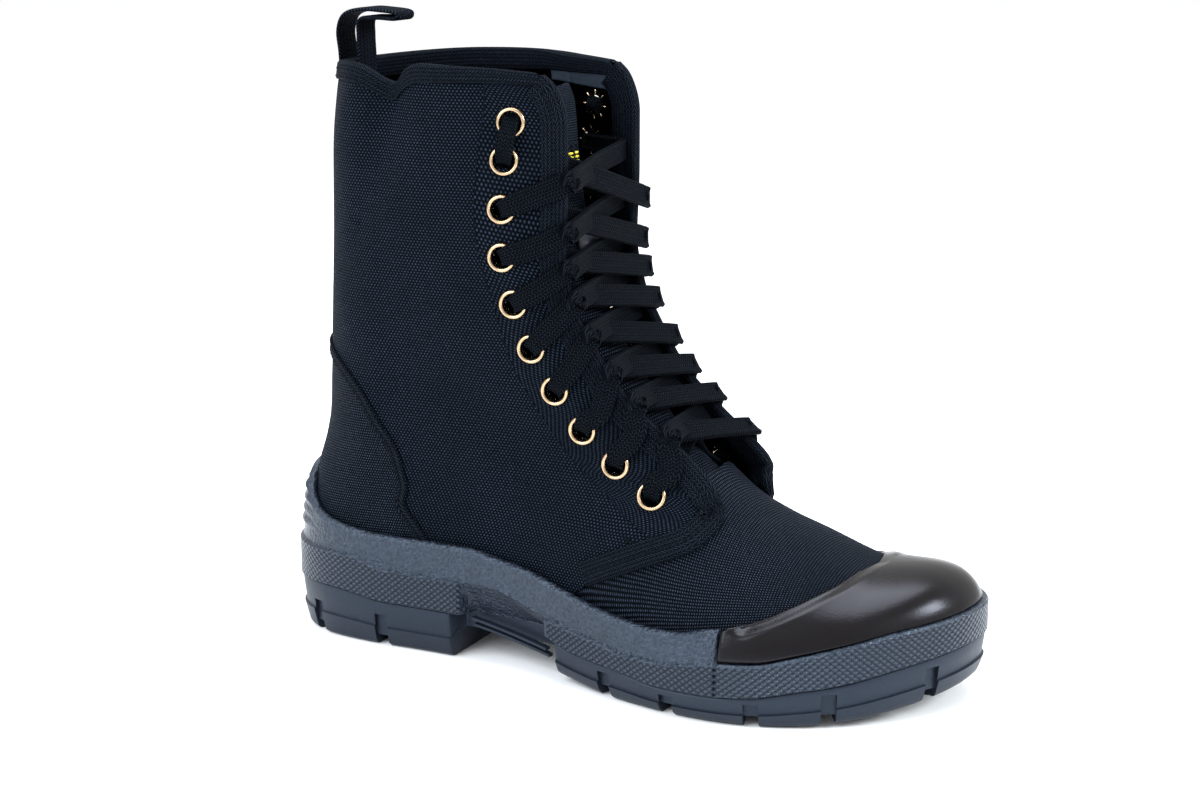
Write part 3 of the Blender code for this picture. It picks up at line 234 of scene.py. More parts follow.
# Sections of the quarters from the sole's edge up to the collar:
# row, back x, back z, front x, front z, half width at heel, middle, eyelets, edge
QUARTER = Table(
    (0.0000, 0.016, 0.125, 0.443, 0.121, 0.770, 0.782, 0.874, 1.011),
    (0.0625, 0.018, 0.190, 0.486, 0.151, 0.770, 0.782, 0.874, 1.011),
    (0.1250, 0.025, 0.264, 0.512, 0.175, 0.770, 0.782, 0.874, 1.011),
    (0.1875, 0.035, 0.331, 0.597, 0.225, 0.770, 0.782, 0.874, 1.011),
    (0.2500, 0.045, 0.384, 0.672, 0.266, 0.782, 0.793, 0.874, 0.851),
    (0.3125, 0.048, 0.417, 0.688, 0.300, 0.793, 0.805, 0.851, 0.736),
    (0.3750, 0.050, 0.446, 0.678, 0.340, 0.816, 0.828, 0.816, 0.632),
    (0.4375, 0.053, 0.483, 0.639, 0.388, 0.839, 0.851, 0.816, 0.609),
    (0.5000, 0.056, 0.537, 0.597, 0.428, 0.862, 0.874, 0.828, 0.632),
    (0.5625, 0.060, 0.599, 0.545, 0.486, 0.885, 0.908, 0.851, 0.667),
    (0.6250, 0.064, 0.661, 0.506, 0.556, 0.908, 0.943, 0.874, 0.701),
    (0.6875, 0.067, 0.727, 0.478, 0.622, 0.931, 0.966, 0.897, 0.724),
    (0.7500, 0.069, 0.798, 0.465, 0.702, 0.943, 0.989, 0.906, 0.736),
    (0.8125, 0.072, 0.872, 0.468, 0.814, 0.954, 1.000, 0.885, 0.736),
    (0.8750, 0.079, 0.942, 0.468, 0.909, 0.954, 1.000, 0.857, 0.736),
    (0.9375, 0.084, 0.975, 0.454, 0.967, 0.954, 1.000, 0.846, 0.747),
    (1.0000, 0.086, 0.988, 0.435, 0.990, 0.954, 1.000, 0.846, 0.759),
)
SIDE_PLACES = (0.0, 0.40, 0.74, 1.0)
ARC_SHARE = 0.40
CORNER_ROW = 0.36

# Stitch line behind the eyelets: row, column
FACING = Table(
    (0.000, 0.985), (0.200, 0.980), (0.235, 0.942), (0.265, 0.871), (0.316, 0.813), (0.392, 0.763),
    (0.496, 0.755), (0.584, 0.760), (0.668, 0.770), (0.723, 0.757), (0.787, 0.741), (0.838, 0.749),
    (0.933, 0.775), (1.000, 0.785),
)
EYELET_INSET = Table(
    (0.300, 9.0), (0.345, 10.5), (0.384, 14.5), (0.434, 20.0), (0.516, 20.8), (0.648, 21.5), (0.714, 22.3),
    (0.769, 24.5), (0.815, 24.3), (0.873, 22.0), (1.000, 21.0),
)
FACING_LENGTH = 268.0 * MM
FACING_FINISH = 4        # places among the quarter's finishes
COUNTER_FINISH = 2
COUNTER_REACH = 0.63
# Top edge of the heel counter: column, height in millimetres
COUNTER_EDGE = Table(
    (0.000, 124.0), (0.150, 122.0), (0.250, 117.0), (0.338, 107.5), (0.421, 88.6), (0.482, 68.5),
    (0.575, 50.5), (0.615, 42.0),
)
CAP_EDGE_CURVE = Table(
    (0.0, 0.0), (0.14, 0.0), (0.20, 0.20), (0.28, 0.43), (0.40, 0.65), (0.63, 0.87), (1.0, 1.0),
)
LOWER_EDGE = Table((0.0, 0.455), (0.09, 0.473), (0.255, 0.544), (0.49, 0.618), (0.63, 0.632), (1.0, 0.648))
TONGUE = Table(
    (0.00, 0.700, 0.290, 0.44), (0.12, 0.650, 0.335, 0.54), (0.28, 0.566, 0.423, 0.64),
    (0.45, 0.480, 0.566, 0.69), (0.62, 0.438, 0.700, 0.71), (0.80, 0.422, 0.840, 0.72),
    (0.93, 0.414, 0.930, 0.70), (1.00, 0.410, 0.962, 0.58),
)
TONGUE_SAG = 15.0 * MM
TONGUE_LENGTH = 190.0 * MM

# Sections of the tapes: reach beside the path and lift above the canvas, in millimetres
FOLD = ((1.2, 1.25), (0.0, 1.2), (-0.8, 0.7), (-1.15, -0.4), (-1.15, -1.9), (-0.7, -3.0), (0.0, -3.3))
EDGE_SECTION = ((9.0, 0.85), (8.7, 1.1), (7.0, 1.2), (5.0, 1.15), (3.0, 1.2), *FOLD, (2.0, -3.35), (6.0, -3.3),
                (11.0, -3.2))
COLLAR_SECTION = ((6.3, 0.85), (6.0, 1.1), (4.5, 1.2), (3.0, 1.2), *FOLD, (2.5, -3.35), (5.5, -3.3),
                  (8.0, -3.2))
COUNTER_SECTION = ((-2.6, 0.7), (-2.4, 0.95), (-1.3, 1.05), (0.0, 1.0), (1.3, 1.05), (2.4, 0.95), (2.6, 0.7))
BACK_SECTION = ((-6.0, 0.6), (-5.8, 0.85), (-4.5, 1.0), (0.0, 1.0), (4.5, 1.0), (5.8, 0.85), (6.0, 0.6))

# Pull loop from the back of the collar: forward, up, in millimetres
PULL_LOOP = (
    (-5.6, -17.0), (-4.6, -6.0), (-4.8, 3.0), (-5.6, 12.0), (-2.5, 18.5), (6.0, 20.8), (15.0, 20.6),
    (21.5, 20.0), (23.0, 19.0), (21.5, 17.4), (13.0, 17.6), (5.0, 16.6), (4.2, 10.0), (4.5, 1.0), (4.5, -12.0),
)


class Side(Enum):
    """Side of the foot."""

    OUTER = -1.0
    INNER = 1.0

    @property
    def word(self) -> str:
        """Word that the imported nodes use."""
        return "lateral" if self is Side.OUTER else "medial"


def ease(share: float) -> float:
    """Smooth step from 0 to 1."""
    share = min(max(share, 0.0), 1.0)
    return share * share * (3.0 - 2.0 * share)


def mix(start: float | Vector, end: float | Vector, share: float) -> float | Vector:
    """Straight mix of two numbers or vectors."""
    return start + (end - start) * share


def even(start: float, end: float, steps: int) -> list[float]:
    """Evenly spaced numbers, both ends included."""
    return [start + (end - start) * number / steps for number in range(steps + 1)]


def smooth_line(points: Sequence[Vector], steps: int) -> list[Vector]:
    """Curve through points.

    Args:
        points: Points that the curve goes through.
        steps: Samples from each point to the next.

    Returns:
        The samples, both ends included.
    """
    made = []
    count = len(points)
    for number in range(count - 1):
        before = points[max(number - 1, 0)]
        start = points[number]
        end = points[number + 1]
        after = points[min(number + 2, count - 1)]
        for step in range(steps):
            t = step / steps
            bend = 2.0 * before - 5.0 * start + 4.0 * end - after
            twist = 3.0 * start - before - 3.0 * end + after
            made.append(0.5 * (2.0 * start + (end - before) * t + bend * t * t + twist * t * t * t))
    made.append(points[-1].copy())
    return made


class Last:
    """Form that the boot is made over, as functions of its named sizes."""

    def __init__(self) -> None:
        """Prepare the outline as a table of turn against width."""
        full = 2.0 * math.pi
        rows = []
        for number, (along, across) in enumerate(OUTLINE):
            turn = self.turn_at(along)
            rows.append((full - turn if number > TOE_ROW else turn, across))
        self.turns = ([(turn - full, across) for turn, across in rows[-3:]] + rows
                      + [(turn + full, across) for turn, across in rows[:3]])
        self.turn_places = [row[0] for row in self.turns]
        self.spines: dict[float, Vector] = {}
        self.sections: dict[float, tuple] = {}

    @staticmethod
    def turn_at(along: float) -> float:
        """Angle round the outline, on the outer side, of a share of the length."""
        return math.acos(1.0 - 2.0 * min(max(along, 0.0), 1.0))

    @staticmethod
    def along_at(turn: float) -> float:
        """Share of the length at an angle round the outline."""
        return (1.0 - math.cos(turn)) / 2.0

    def station(self, turn: float) -> float:
        """Length from the heel's back at an angle round the outline."""
        return self.along_at(turn) * LENGTH

    @staticmethod
    def mirror(turn: float) -> float:
        """The same station on the other side of the foot."""
        return 2.0 * math.pi - turn

    def outline(self, turn: float) -> Vector:
        """Point of the outline in plan.

        Args:
            turn: Angle round the sole.

        Returns:
            The point.
        """
        turn %= 2.0 * math.pi
        rows = self.turns
        low = min(max(bisect_right(self.turn_places, turn) - 1, 1), len(rows) - 3)
        (t0, y0), (t1, y1), (t2, y2), (t3, y3) = rows[low - 1:low + 3]
        width = t2 - t1
        value = cubic(y1, y2, width * (y2 - y0) / (t2 - t0), width * (y3 - y1) / (t3 - t1), (turn - t1) / width)
        return Vector((LENGTH * self.along_at(turn), BALL * value, 0.0))

    def outward(self, turn: float) -> Vector:
        """Unit vector in plan that points out of the outline."""
        run = self.outline(turn + TURN_STEP) - self.outline(turn - TURN_STEP)
        return Vector((run.y, -run.x, 0.0)).normalized()

    def offset(self, turn: float, distance: float) -> Vector:
        """Outline moved outward."""
        return self.outline(turn) + self.outward(turn) * distance

    def height(self, table: Table, turn: float, size: float = RIM_HEIGHT) -> float:
        """Height from a table at a turn."""
        return table.at(self.along_at(turn)) * size

    def spine(self, turn: float) -> Vector:
        """Point of the foot's ridge that a station's section rises to.

        Args:
            turn: Angle round the sole.

        Returns:
            The point, at its height.
        """
        held = round(min(turn, self.mirror(turn), self.turn_at(CREST_END)), 4)
        if held not in self.spines:
            middle = (self.offset(held, -RIM_WALL) + self.offset(self.mirror(held), -RIM_WALL)) / 2.0
            middle.z = self.height(CREST, held, COLLAR)
            self.spines[held] = middle
        return self.spines[held]

    def point(self, turn: float, height: float) -> Vector:
        """Point of the last at a station and a height above the floor.

        Args:
            turn: Angle round the sole.
            height: Height above the floor.

        Returns:
            The point.
        """
        foot = self.offset(turn, -RIM_WALL)
        peak = self.spine(turn)
        base = self.height(FLOOR, turn)
        rise = min(max((height - base) / (peak.z - base), 0.0), 1.0)
        narrow = (1.0 - rise * rise) ** (1.0 / SECTION_ROUND)
        place = mix(Vector((peak.x, peak.y, 0.0)), foot, narrow)
        near_heel = max(0.0, 1.0 - min(turn, self.mirror(turn)) / 0.95)
        place -= self.outward(turn) * LEAN.at(height / COLLAR) * LENGTH * ease(near_heel)
        place.z = height
        return place

    def vamp(self, turn: float, climb: float) -> Vector:
        """Point of the last where climb goes from 0 at the sole to 1 on the ridge.

        Args:
            turn: Angle round the sole.
            climb: How far up the ridge, from 0 to 1.

        Returns:
            The point.
        """
        base = self.height(FLOOR, turn)
        peak = self.spine(turn)
        foot = self.offset(turn, -RIM_WALL)
        narrow = math.cos(climb * math.pi / 2.0) ** (2.0 / SECTION_ROUND) if climb < 1.0 else 0.0
        place = mix(Vector((peak.x, peak.y, 0.0)), foot, narrow)
        place.z = base + (peak.z - base) * math.sin(climb * math.pi / 2.0)
        return place

    def section(self, row: float) -> tuple:
        """Values of one section of the quarters, with its half widths as a table.

        Args:
            row: Row of the quarters' face.

        Returns:
            Back and front in plan and height, and the table.
        """
        key = round(row, 5)
        if key not in self.sections:
            values = [QUARTER.at(key, column) for column in range(1, 9)]
            self.sections[key] = (values[0] * LENGTH, values[1] * COLLAR, values[2] * LENGTH,
                                  values[3] * COLLAR, Table(*zip(SIDE_PLACES, values[4:])))
        return self.sections[key]

    def quarter(self, row: float, across: float) -> Vector:
        """Point of the quarters' face.

        Args:
            row: From 0 at the sole to 1 at the collar.
            across: -1 at the outer edge, 0 at the back, 1 at the inner edge.

        Returns:
            The point.
        """
        back_x, back_z, front_x, front_z, widths = self.section(row)
        reach = abs(across)
        if reach < ARC_SHARE:
            angle = reach / ARC_SHARE * math.pi / 2.0
            station = HEEL_ARC * (1.0 - math.cos(angle))
            high_x = back_x + station
            half = widths.at(0.0) * SHAFT_HALF * math.sin(angle)
        else:
            share = (reach - ARC_SHARE) / (1.0 - ARC_SHARE)
            high_x = mix(back_x + HEEL_ARC, front_x, share)
            half = widths.at(share) * SHAFT_HALF
            station = mix(HEEL_ARC, front_x, share)
        forward = (high_x - back_x) / (front_x - back_x)
        crown = COLLAR_CROWN * 4.0 * forward * (1.0 - forward) * ease((row - 0.8) / 0.2)
        height = max(mix(back_z, front_z, forward) + crown, FLOOR.at(station / LENGTH) * RIM_HEIGHT + 0.1 * MM)
        side = -1.0 if across < 0.0 else 1.0
        fold = FOLD_DEPTH * math.exp(-((across - FOLD_PLACE) / 0.07) ** 2) * ease((row - 0.72) / 0.28)
        height -= fold
        high = Vector((high_x, side * (half - fold / 2.0), height))
        free = ease((height - CLING.at(station / LENGTH) * COLLAR) / CLING_FADE)
        if free >= 1.0:
            return high
        turn = self.turn_at(station / LENGTH)
        low = self.point(turn if side < 0.0 else self.mirror(turn), height)
        return mix(low, high, free)

    def frame(self, row: float, across: float) -> tuple[Vector, Vector, Vector, Vector]:
        """Face point, outward normal, and the directions up and along the face.

        Args:
            row: Row of the quarters' face.
            across: Column of the quarters' face.

        Returns:
            The point and the three unit vectors.
        """
        step = 0.004
        up = self.quarter(min(row + step, 1.0), across) - self.quarter(max(row - step, 0.0), across)
        along = self.quarter(row, min(across + step, 1.0)) - self.quarter(row, max(across - step, -1.0))
        return self.quarter(row, across), up.cross(along).normalized(), up.normalized(), along.normalized()

    def nearest(self, target: Vector, row: float, across: float) -> tuple[float, float]:
        """Row and column of the quarters' face nearest to a point.

        Args:
            target: The point.
            row: Row to start from.
            across: Column to start from, whose side is kept.

        Returns:
            The row and the column.
        """
        side = -1.0 if across < 0.0 else 1.0
        step = 0.003
        for _ in range(6):
            base_row = min(row, 1.0 - step)
            base_across = side * min(abs(across), 1.0 - step)
            here = self.quarter(base_row, base_across)
            rise = (self.quarter(base_row + step, base_across) - here) / step
            run = (self.quarter(base_row, base_across + side * step) - here) / (side * step)
            miss = target - here
            a, b, c = rise.dot(rise), rise.dot(run), run.dot(run)
            det = a * c - b * b
            if abs(det) < 1e-12:
                break
            p, q = miss.dot(rise), miss.dot(run)
            row = min(max(base_row + (p * c - q * b) / det, 0.0), 1.0)
            across = side * min(max(abs(base_across + (q * a - p * b) / det), 0.0), 1.0)
        return row, across

    def row_at(self, across: float, height: float) -> float:
        """Row of the quarters' face at a column and height.

        Args:
            across: Column of the quarters' face.
            height: Height above the floor.

        Returns:
            The row.
        """
        low, high = 0.0, 1.0
        for _ in range(24):
            middle = (low + high) / 2.0
            if self.quarter(middle, across).z < height:
                low = middle
            else:
                high = middle
        return (low + high) / 2.0


@dataclass(frozen=True)
class EyeletPlace:
    """Where an eyelet sits on the quarters."""

    centre: Vector
    normal: Vector
    edge_row: float
    row: float
    across: float

    def matrix(self) -> Matrix:
        """The eyelet's frame, whose Z is its axis."""
        return Matrix.Translation(self.centre) @ self.normal.to_track_quat("Z", "Y").to_matrix().to_4x4()


# Finishes

Socket = bpy.types.NodeSocket


class Graph:
    """Short way to add shader nodes to a new material."""

    def __init__(self, name: str) -> None:
        """Start a material with its Principled shader.

        Args:
            name: The material's name.
        """
        self.material = bpy.data.materials.new(name)
        self.material.use_nodes = True
        self.tree = self.material.node_tree
        self.shader = self.tree.nodes["Principled BSDF"]

    def node(self, kind: str, inputs: dict | None = None, **values: object) -> bpy.types.Node:
        """Add a node, with its properties and inputs.

        Args:
            kind: Blender's name of the node.
            inputs: Links or values by socket.
            values: The node's properties.

        Returns:
            The node.
        """
        made = self.tree.nodes.new(kind)
        for key, value in values.items():
            setattr(made, key, value)
        for key, value in (inputs or {}).items():
            if isinstance(value, Socket):
                self.tree.links.new(value, made.inputs[key])
            else:
                made.inputs[key].default_value = value
        return made

    def math(self, operation: str, first: Socket | float, second: Socket | float = 0.0,
             third: Socket | float = 0.0, clamp: bool = False) -> Socket:
        """One Math node."""
        inputs = {0: first, 1: second, 2: third}
        return self.node("ShaderNodeMath", inputs, operation=operation, use_clamp=clamp).outputs[0]

    def chart(self, angle: float = 0.0) -> tuple[Socket, Socket]:
        """The piece's own chart in metres, turned by an angle in degrees.

        Args:
            angle: The turn.

        Returns:
            Place across and place along.
        """
        uv = self.node("ShaderNodeUVMap", uv_map=CHART).outputs[0]
        turned = self.node("ShaderNodeMapping", {"Vector": uv, "Rotation": (0.0, 0.0, math.radians(angle))})
        split = self.node("ShaderNodeSeparateXYZ", {0: turned.outputs[0]})
        return split.outputs[0], split.outputs[1]

    def place(self) -> Socket:
        """Object coordinates in metres."""
        return self.node("ShaderNodeTexCoord").outputs["Object"]

    def noise(self, scale: float, detail: float) -> Socket:
        """Noise on the object's coordinates."""
        inputs = {"Vector": self.place(), "Scale": scale, "Detail": detail, "Roughness": 0.5}
        return self.node("ShaderNodeTexNoise", inputs).outputs[0]

    def wave(self, value: Socket, period: float) -> Socket:
        """Sine of a length with a period in millimetres."""
        return self.math("SINE", self.math("MULTIPLY", value, 2.0 * math.pi / (period * MM)))

    def colours(self, share: Socket, low: tuple, high: tuple) -> None:
        """Base colour mixed from two by a share."""
        made = self.node("ShaderNodeMix", {0: share, 6: (*low, 1.0), 7: (*high, 1.0)}, data_type="RGBA")
        self.tree.links.new(made.outputs[2], self.shader.inputs["Base Color"])

    def bump(self, height: Socket, strength: float, distance: float) -> None:
        """Add relief of a distance in millimetres to the shader's normal."""
        made = self.node("ShaderNodeBump", {"Height": height, "Strength": strength, "Distance": distance * MM})
        self.tree.links.new(made.outputs[0], self.shader.inputs["Normal"])

    def gloss(self, rough: float, **values: float | tuple) -> None:
        """Set the shader's own sockets, named with underscores for spaces.

        Args:
            rough: Roughness.
            values: Other sockets.
        """
        self.shader.inputs["Roughness"].default_value = rough
        for key, value in values.items():
            self.shader.inputs[key.replace("_", " ")].default_value = value


@dataclass(frozen=True)
class Weave:
    """Plain woven canvas, whose threads run along the piece's chart."""

    name: str
    # low is the painted shade between the threads, high the painted highlight on their tops
    low: tuple = (0.0003, 0.0005, 0.0010)
    high: tuple = (0.046, 0.067, 0.112)
    pitch: tuple = (1.55, 1.15)
    angle: float = 0.0
    relief: float = 0.45
    rough: float = 0.72
    shine: float = 0.045

    def make(self) -> bpy.types.Material:
        """Build the material.

        Returns:
            The material.
        """
        graph = Graph(self.name)
        u, v = graph.chart(self.angle)
        rows = graph.wave(v, 2.0 * self.pitch[1])
        shifted = graph.math("MULTIPLY", graph.wave(u, self.pitch[0]), graph.math("SIGN", rows))
        dashes = graph.math("POWER", graph.math("MULTIPLY_ADD", shifted, 0.5, 0.5), 0.7)
        crate = graph.math("MULTIPLY", dashes, graph.math("POWER", graph.math("ABSOLUTE", rows), 0.9))
        lint = graph.noise(900.0, 2.0)
        patchy = graph.noise(26.0, 4.0)
        # Base colour follows the threads' height: painted highlight on the thread tops, painted shade between
        # them
        painted_highlight_share = graph.math("MULTIPLY", graph.math("POWER", crate, 2.8), graph.math("ADD", patchy, 0.5))
        painted_highlight_share = graph.math("MULTIPLY", painted_highlight_share, lint, clamp=True)
        graph.colours(painted_highlight_share, self.low, self.high)
        graph.bump(graph.math("ADD", crate, graph.math("MULTIPLY", lint, 0.35)), 0.9, self.relief)
        graph.gloss(self.rough, Specular_IOR_Level=self.shine, Specular_Tint=COOL_TINT)
        return graph.material


@dataclass(frozen=True)
class Herringbone:
    """Woven tape or braid with slanted ribs that turn back at its lengthwise lines."""

    name: str
    # low is the painted shade between the ribs, high the painted highlight on their tops
    low: tuple = (0.0003, 0.0004, 0.0007)
    high: tuple = (0.028, 0.038, 0.058)
    rib: float = 1.5
    stripe: float = 2.4
    slope: float = 1.0
    relief: float = 0.35
    rough: float = 0.75

    def make(self) -> bpy.types.Material:
        """Build the material.

        Returns:
            The material.
        """
        graph = Graph(self.name)
        u, v = graph.chart()
        zigzag = graph.math("PINGPONG", graph.math("ADD", u, 1.0), self.stripe * MM)
        ribs = graph.wave(graph.math("MULTIPLY_ADD", v, self.slope, zigzag), self.rib)
        ribs = graph.math("MULTIPLY_ADD", ribs, 0.5, 0.5)
        turned = graph.wave(graph.math("ADD", u, 1.0), 2.0 * self.stripe)
        lines = graph.math("POWER", graph.math("ABSOLUTE", turned), 0.5)
        height = graph.math("MULTIPLY", ribs, lines)
        lint = graph.noise(1100.0, 2.0)
        # Base colour follows the ribs' height: painted highlight on the rib tops, painted shade between them
        painted_highlight_share = graph.math("MULTIPLY", graph.math("POWER", height, 1.6), lint, clamp=True)
        graph.colours(painted_highlight_share, self.low, self.high)
        graph.bump(graph.math("ADD", height, graph.math("MULTIPLY", lint, 0.3)), 0.9, self.relief)
        graph.gloss(self.rough, Specular_IOR_Level=0.04, Specular_Tint=COOL_TINT)
        return graph.material


@dataclass(frozen=True)
class Rubber:
    """Moulded rubber with a fine pebble."""

    name: str
    # low is the painted shade in the relief's hollows, high the painted highlight on its raised parts
    low: tuple = (0.0022, 0.0030, 0.0052)
    high: tuple = (0.0170, 0.0225, 0.0360)
    pebble: float = 720.0
    relief: float = 1.1
    rough: float = 0.33
    shine: float = 0.52
    tint: tuple = (0.64, 0.80, 1.0, 1.0)
    spread: float = 2.6

    def relief_of(self, graph: Graph) -> Socket:
        """Height of the rubber's face."""
        return graph.noise(self.pebble, 2.0)

    def make(self) -> bpy.types.Material:
        """Build the material.

        Returns:
            The material.
        """
        graph = Graph(self.name)
        height = self.relief_of(graph)
        # Base colour follows the relief's height: painted highlight on the raised parts, painted shade in the
        # hollows
        painted_relief_light = graph.math("MULTIPLY_ADD", height, self.spread, 0.5 - self.spread / 2.0, clamp=True)
        graph.colours(painted_relief_light, self.low, self.high)
        graph.bump(height, 0.8, self.relief)
        rough = graph.math("MULTIPLY_ADD", graph.noise(60.0, 4.0), 0.16, self.rough - 0.08)
        graph.gloss(self.rough, Specular_IOR_Level=self.shine, Specular_Tint=self.tint)
        graph.tree.links.new(rough, graph.shader.inputs["Roughness"])
        return graph.material


@dataclass(frozen=True)
class Knurl(Rubber):
    """Rubber with crossed rows of raised diamonds on its chart."""

    pitch: float = 3.1
    slant: float = 1.25

    def relief_of(self, graph: Graph) -> Socket:
        """Height of the diamonds with the pebble on top.

        Args:
            graph: Material that gets the nodes.

        Returns:
            The height.
        """
        u, v = graph.chart()
        tilted = graph.math("MULTIPLY", v, self.slant)
        first = graph.math("ABSOLUTE", graph.wave(graph.math("ADD", u, tilted), 2.0 * self.pitch))
        second = graph.math("ABSOLUTE", graph.wave(graph.math("SUBTRACT", u, tilted), 2.0 * self.pitch))
        # This height also sets the colour: painted shade between the diamonds, painted highlight on their tips
        diamonds = graph.math("POWER", graph.math("MULTIPLY", first, second), 0.55)
        return graph.math("ADD", diamonds, graph.math("MULTIPLY", graph.noise(self.pebble, 2.0), 0.12))


@dataclass(frozen=True)
class Smooth:
    """Plain finish with a fine grain, for brass, leather, thread and foam."""

    name: str
    low: tuple
    high: tuple
    rough: float
    metallic: float = 0.0
    grain: float = 700.0
    relief: float = 0.05
    coat: float = 0.0
    shine: float = 0.5

    def make(self) -> bpy.types.Material:
        """Build the material.

        Returns:
            The material.
        """
        graph = Graph(self.name)
        graph.colours(graph.noise(120.0, 4.0), self.low, self.high)
        graph.bump(graph.noise(self.grain, 3.0), 0.5, self.relief)
        graph.gloss(self.rough, Metallic=self.metallic, Coat_Weight=self.coat, Coat_Roughness=0.2,
                    Specular_IOR_Level=self.shine)
        return graph.material


FINISHES = (
    Weave("canvas"),
    Weave("counter_canvas", pitch=(1.35, 0.95), angle=-52.0, high=(0.072, 0.098, 0.150)),
    Weave("facing_canvas", pitch=(1.75, 1.2)),
    Weave("vamp_canvas", pitch=(1.25, 0.88), angle=38.0, high=(0.064, 0.085, 0.130)),
    Weave("lining", low=(0.0002, 0.0002, 0.0002), high=(0.002, 0.002, 0.003), pitch=(1.1, 0.75), relief=0.15,
          shine=0.0),
    Weave("satin", low=(0.010, 0.014, 0.021), high=(0.085, 0.110, 0.150), pitch=(0.7, 0.6), relief=0.08,
          rough=0.4, shine=0.2),
    Herringbone("tape"),
    Herringbone("binding", rib=0.95, stripe=1.55, slope=0.7),
    Herringbone("braid", rib=1.35, stripe=1.27, high=(0.018, 0.024, 0.034), relief=0.6),
    Rubber("rubber"),
    Rubber("tread", low=(0.0050, 0.0068, 0.0115), high=(0.0105, 0.0140, 0.0230), rough=0.44, relief=0.12,
           shine=0.34, spread=1.0),
    # The brownish tint of the cap's near-black base colour is a painted reflection of the surroundings on its
    # glossy sides
    Rubber("cap", low=(0.0016, 0.0010, 0.0010), high=(0.0034, 0.0022, 0.0020), rough=0.25, pebble=1300.0,
           relief=0.07, shine=0.23, tint=(0.86, 0.88, 1.0, 1.0), spread=1.0),
    Knurl("knurl", low=(0.0006, 0.0008, 0.0014), high=(0.026, 0.034, 0.052), relief=2.0, rough=0.31, shine=0.36,
          spread=1.5),
    Smooth("brass", (0.40, 0.27, 0.15), (0.60, 0.44, 0.28), 0.27, metallic=1.0, grain=60.0, relief=0.01),
    Smooth("leather", (0.030, 0.038, 0.052), (0.060, 0.074, 0.098), 0.34, grain=900.0, relief=0.06, coat=0.2),
    Smooth("raw_edge", (0.10, 0.045, 0.02), (0.17, 0.08, 0.04), 0.8),
    # Black thread, darkened further as painted shade of the sunken stitch lines
    Smooth("thread", (0.0004, 0.0005, 0.0008), (0.004, 0.006, 0.010), 0.6, grain=2500.0, shine=0.04),
    Smooth("yellow_thread", (0.60, 0.50, 0.02), (0.85, 0.74, 0.05), 0.55, grain=2500.0, relief=0.1),
    Smooth("foam", (0.010, 0.0105, 0.012), (0.020, 0.021, 0.023), 0.9, relief=0.2),
    Smooth("floor", (0.97, 0.97, 0.97), (0.98, 0.98, 0.98), 0.8, relief=0.0, shine=0.0),
)


class Materials:
    """All finishes, made once."""

    def __init__(self) -> None:
        """Build every finish."""
        self.made = {finish.name: finish.make() for finish in FINISHES}

    def get(self, *names: str) -> list[bpy.types.Material]:
        """Finishes by name."""
        return [self.made[name] for name in names]


# Mesh tools

def patch(columns: int, rows: int, place: Callable[[int, int], Vector],
          chart: Callable[[int, int], tuple[float, float]]) -> bmesh.types.BMesh:
    """A grid laid on a surface, with a chart in metres.

    Args:
        columns: Faces across.
        rows: Faces up.
        place: Point for a column and a row.
        chart: Chart place for a column and a row.

    Returns:
        The open sheet.
    """
    mesh_data = bmesh.new()
    layer = mesh_data.loops.layers.uv.new(CHART)
    bmesh.ops.create_grid(mesh_data, x_segments=columns, y_segments=rows, size=0.5)
    index = {vert: (round((vert.co.x + 0.5) * columns), round((vert.co.y + 0.5) * rows))
             for vert in mesh_data.verts}
    for face in mesh_data.faces:
        for loop in face.loops:
            loop[layer].uv = chart(*index[loop.vert])
    for vert, (column, row) in index.items():
        vert.co = place(column, row)
    mesh_data.normal_update()
    return mesh_data


def plain_chart(column: int, row: int) -> tuple[float, float]:
    """Chart place that only counts columns and rows."""
    return column * MM, row * MM


def even_chart(columns: int, rows: int, wide: float, high: float) -> Callable[[int, int], tuple[float, float]]:
    """Chart that runs evenly over a sheet of a given size."""
    return lambda column, row: (column / columns * wide, row / rows * high)


def face_away(mesh_data: bmesh.types.BMesh, centre: Vector) -> None:
    """Turn a sheet so that it faces away from a point.

    Args:
        mesh_data: The sheet.
        centre: The point.
    """
    total = sum((face.calc_center_median() - centre).dot(face.normal) * face.calc_area()
                for face in mesh_data.faces)
    if total < 0.0:
        bmesh.ops.reverse_faces(mesh_data, faces=mesh_data.faces)
        mesh_data.normal_update()


def lift_by(mesh_data: bmesh.types.BMesh, lift: Callable[[Vector], float]) -> None:
    """Move a sheet's points along their normals.

    Args:
        mesh_data: The sheet.
        lift: How far to move the point at a place.
    """
    moves = [(vert, vert.normal * lift(vert.co)) for vert in mesh_data.verts]
    for vert, move in moves:
        vert.co += move
    mesh_data.normal_update()


def close(mesh_data: bmesh.types.BMesh) -> None:
    """Merge doubles, close the open ends and turn the faces outwards.

    Args:
        mesh_data: The mesh.
    """
    bmesh.ops.remove_doubles(mesh_data, verts=mesh_data.verts, dist=0.01 * MM)
    bmesh.ops.dissolve_degenerate(mesh_data, dist=0.01 * MM, edges=mesh_data.edges)
    border = [edge for edge in mesh_data.edges if edge.is_boundary]
    if border:
        bmesh.ops.holes_fill(mesh_data, edges=border, sides=0)
    bmesh.ops.recalc_face_normals(mesh_data, faces=mesh_data.faces)


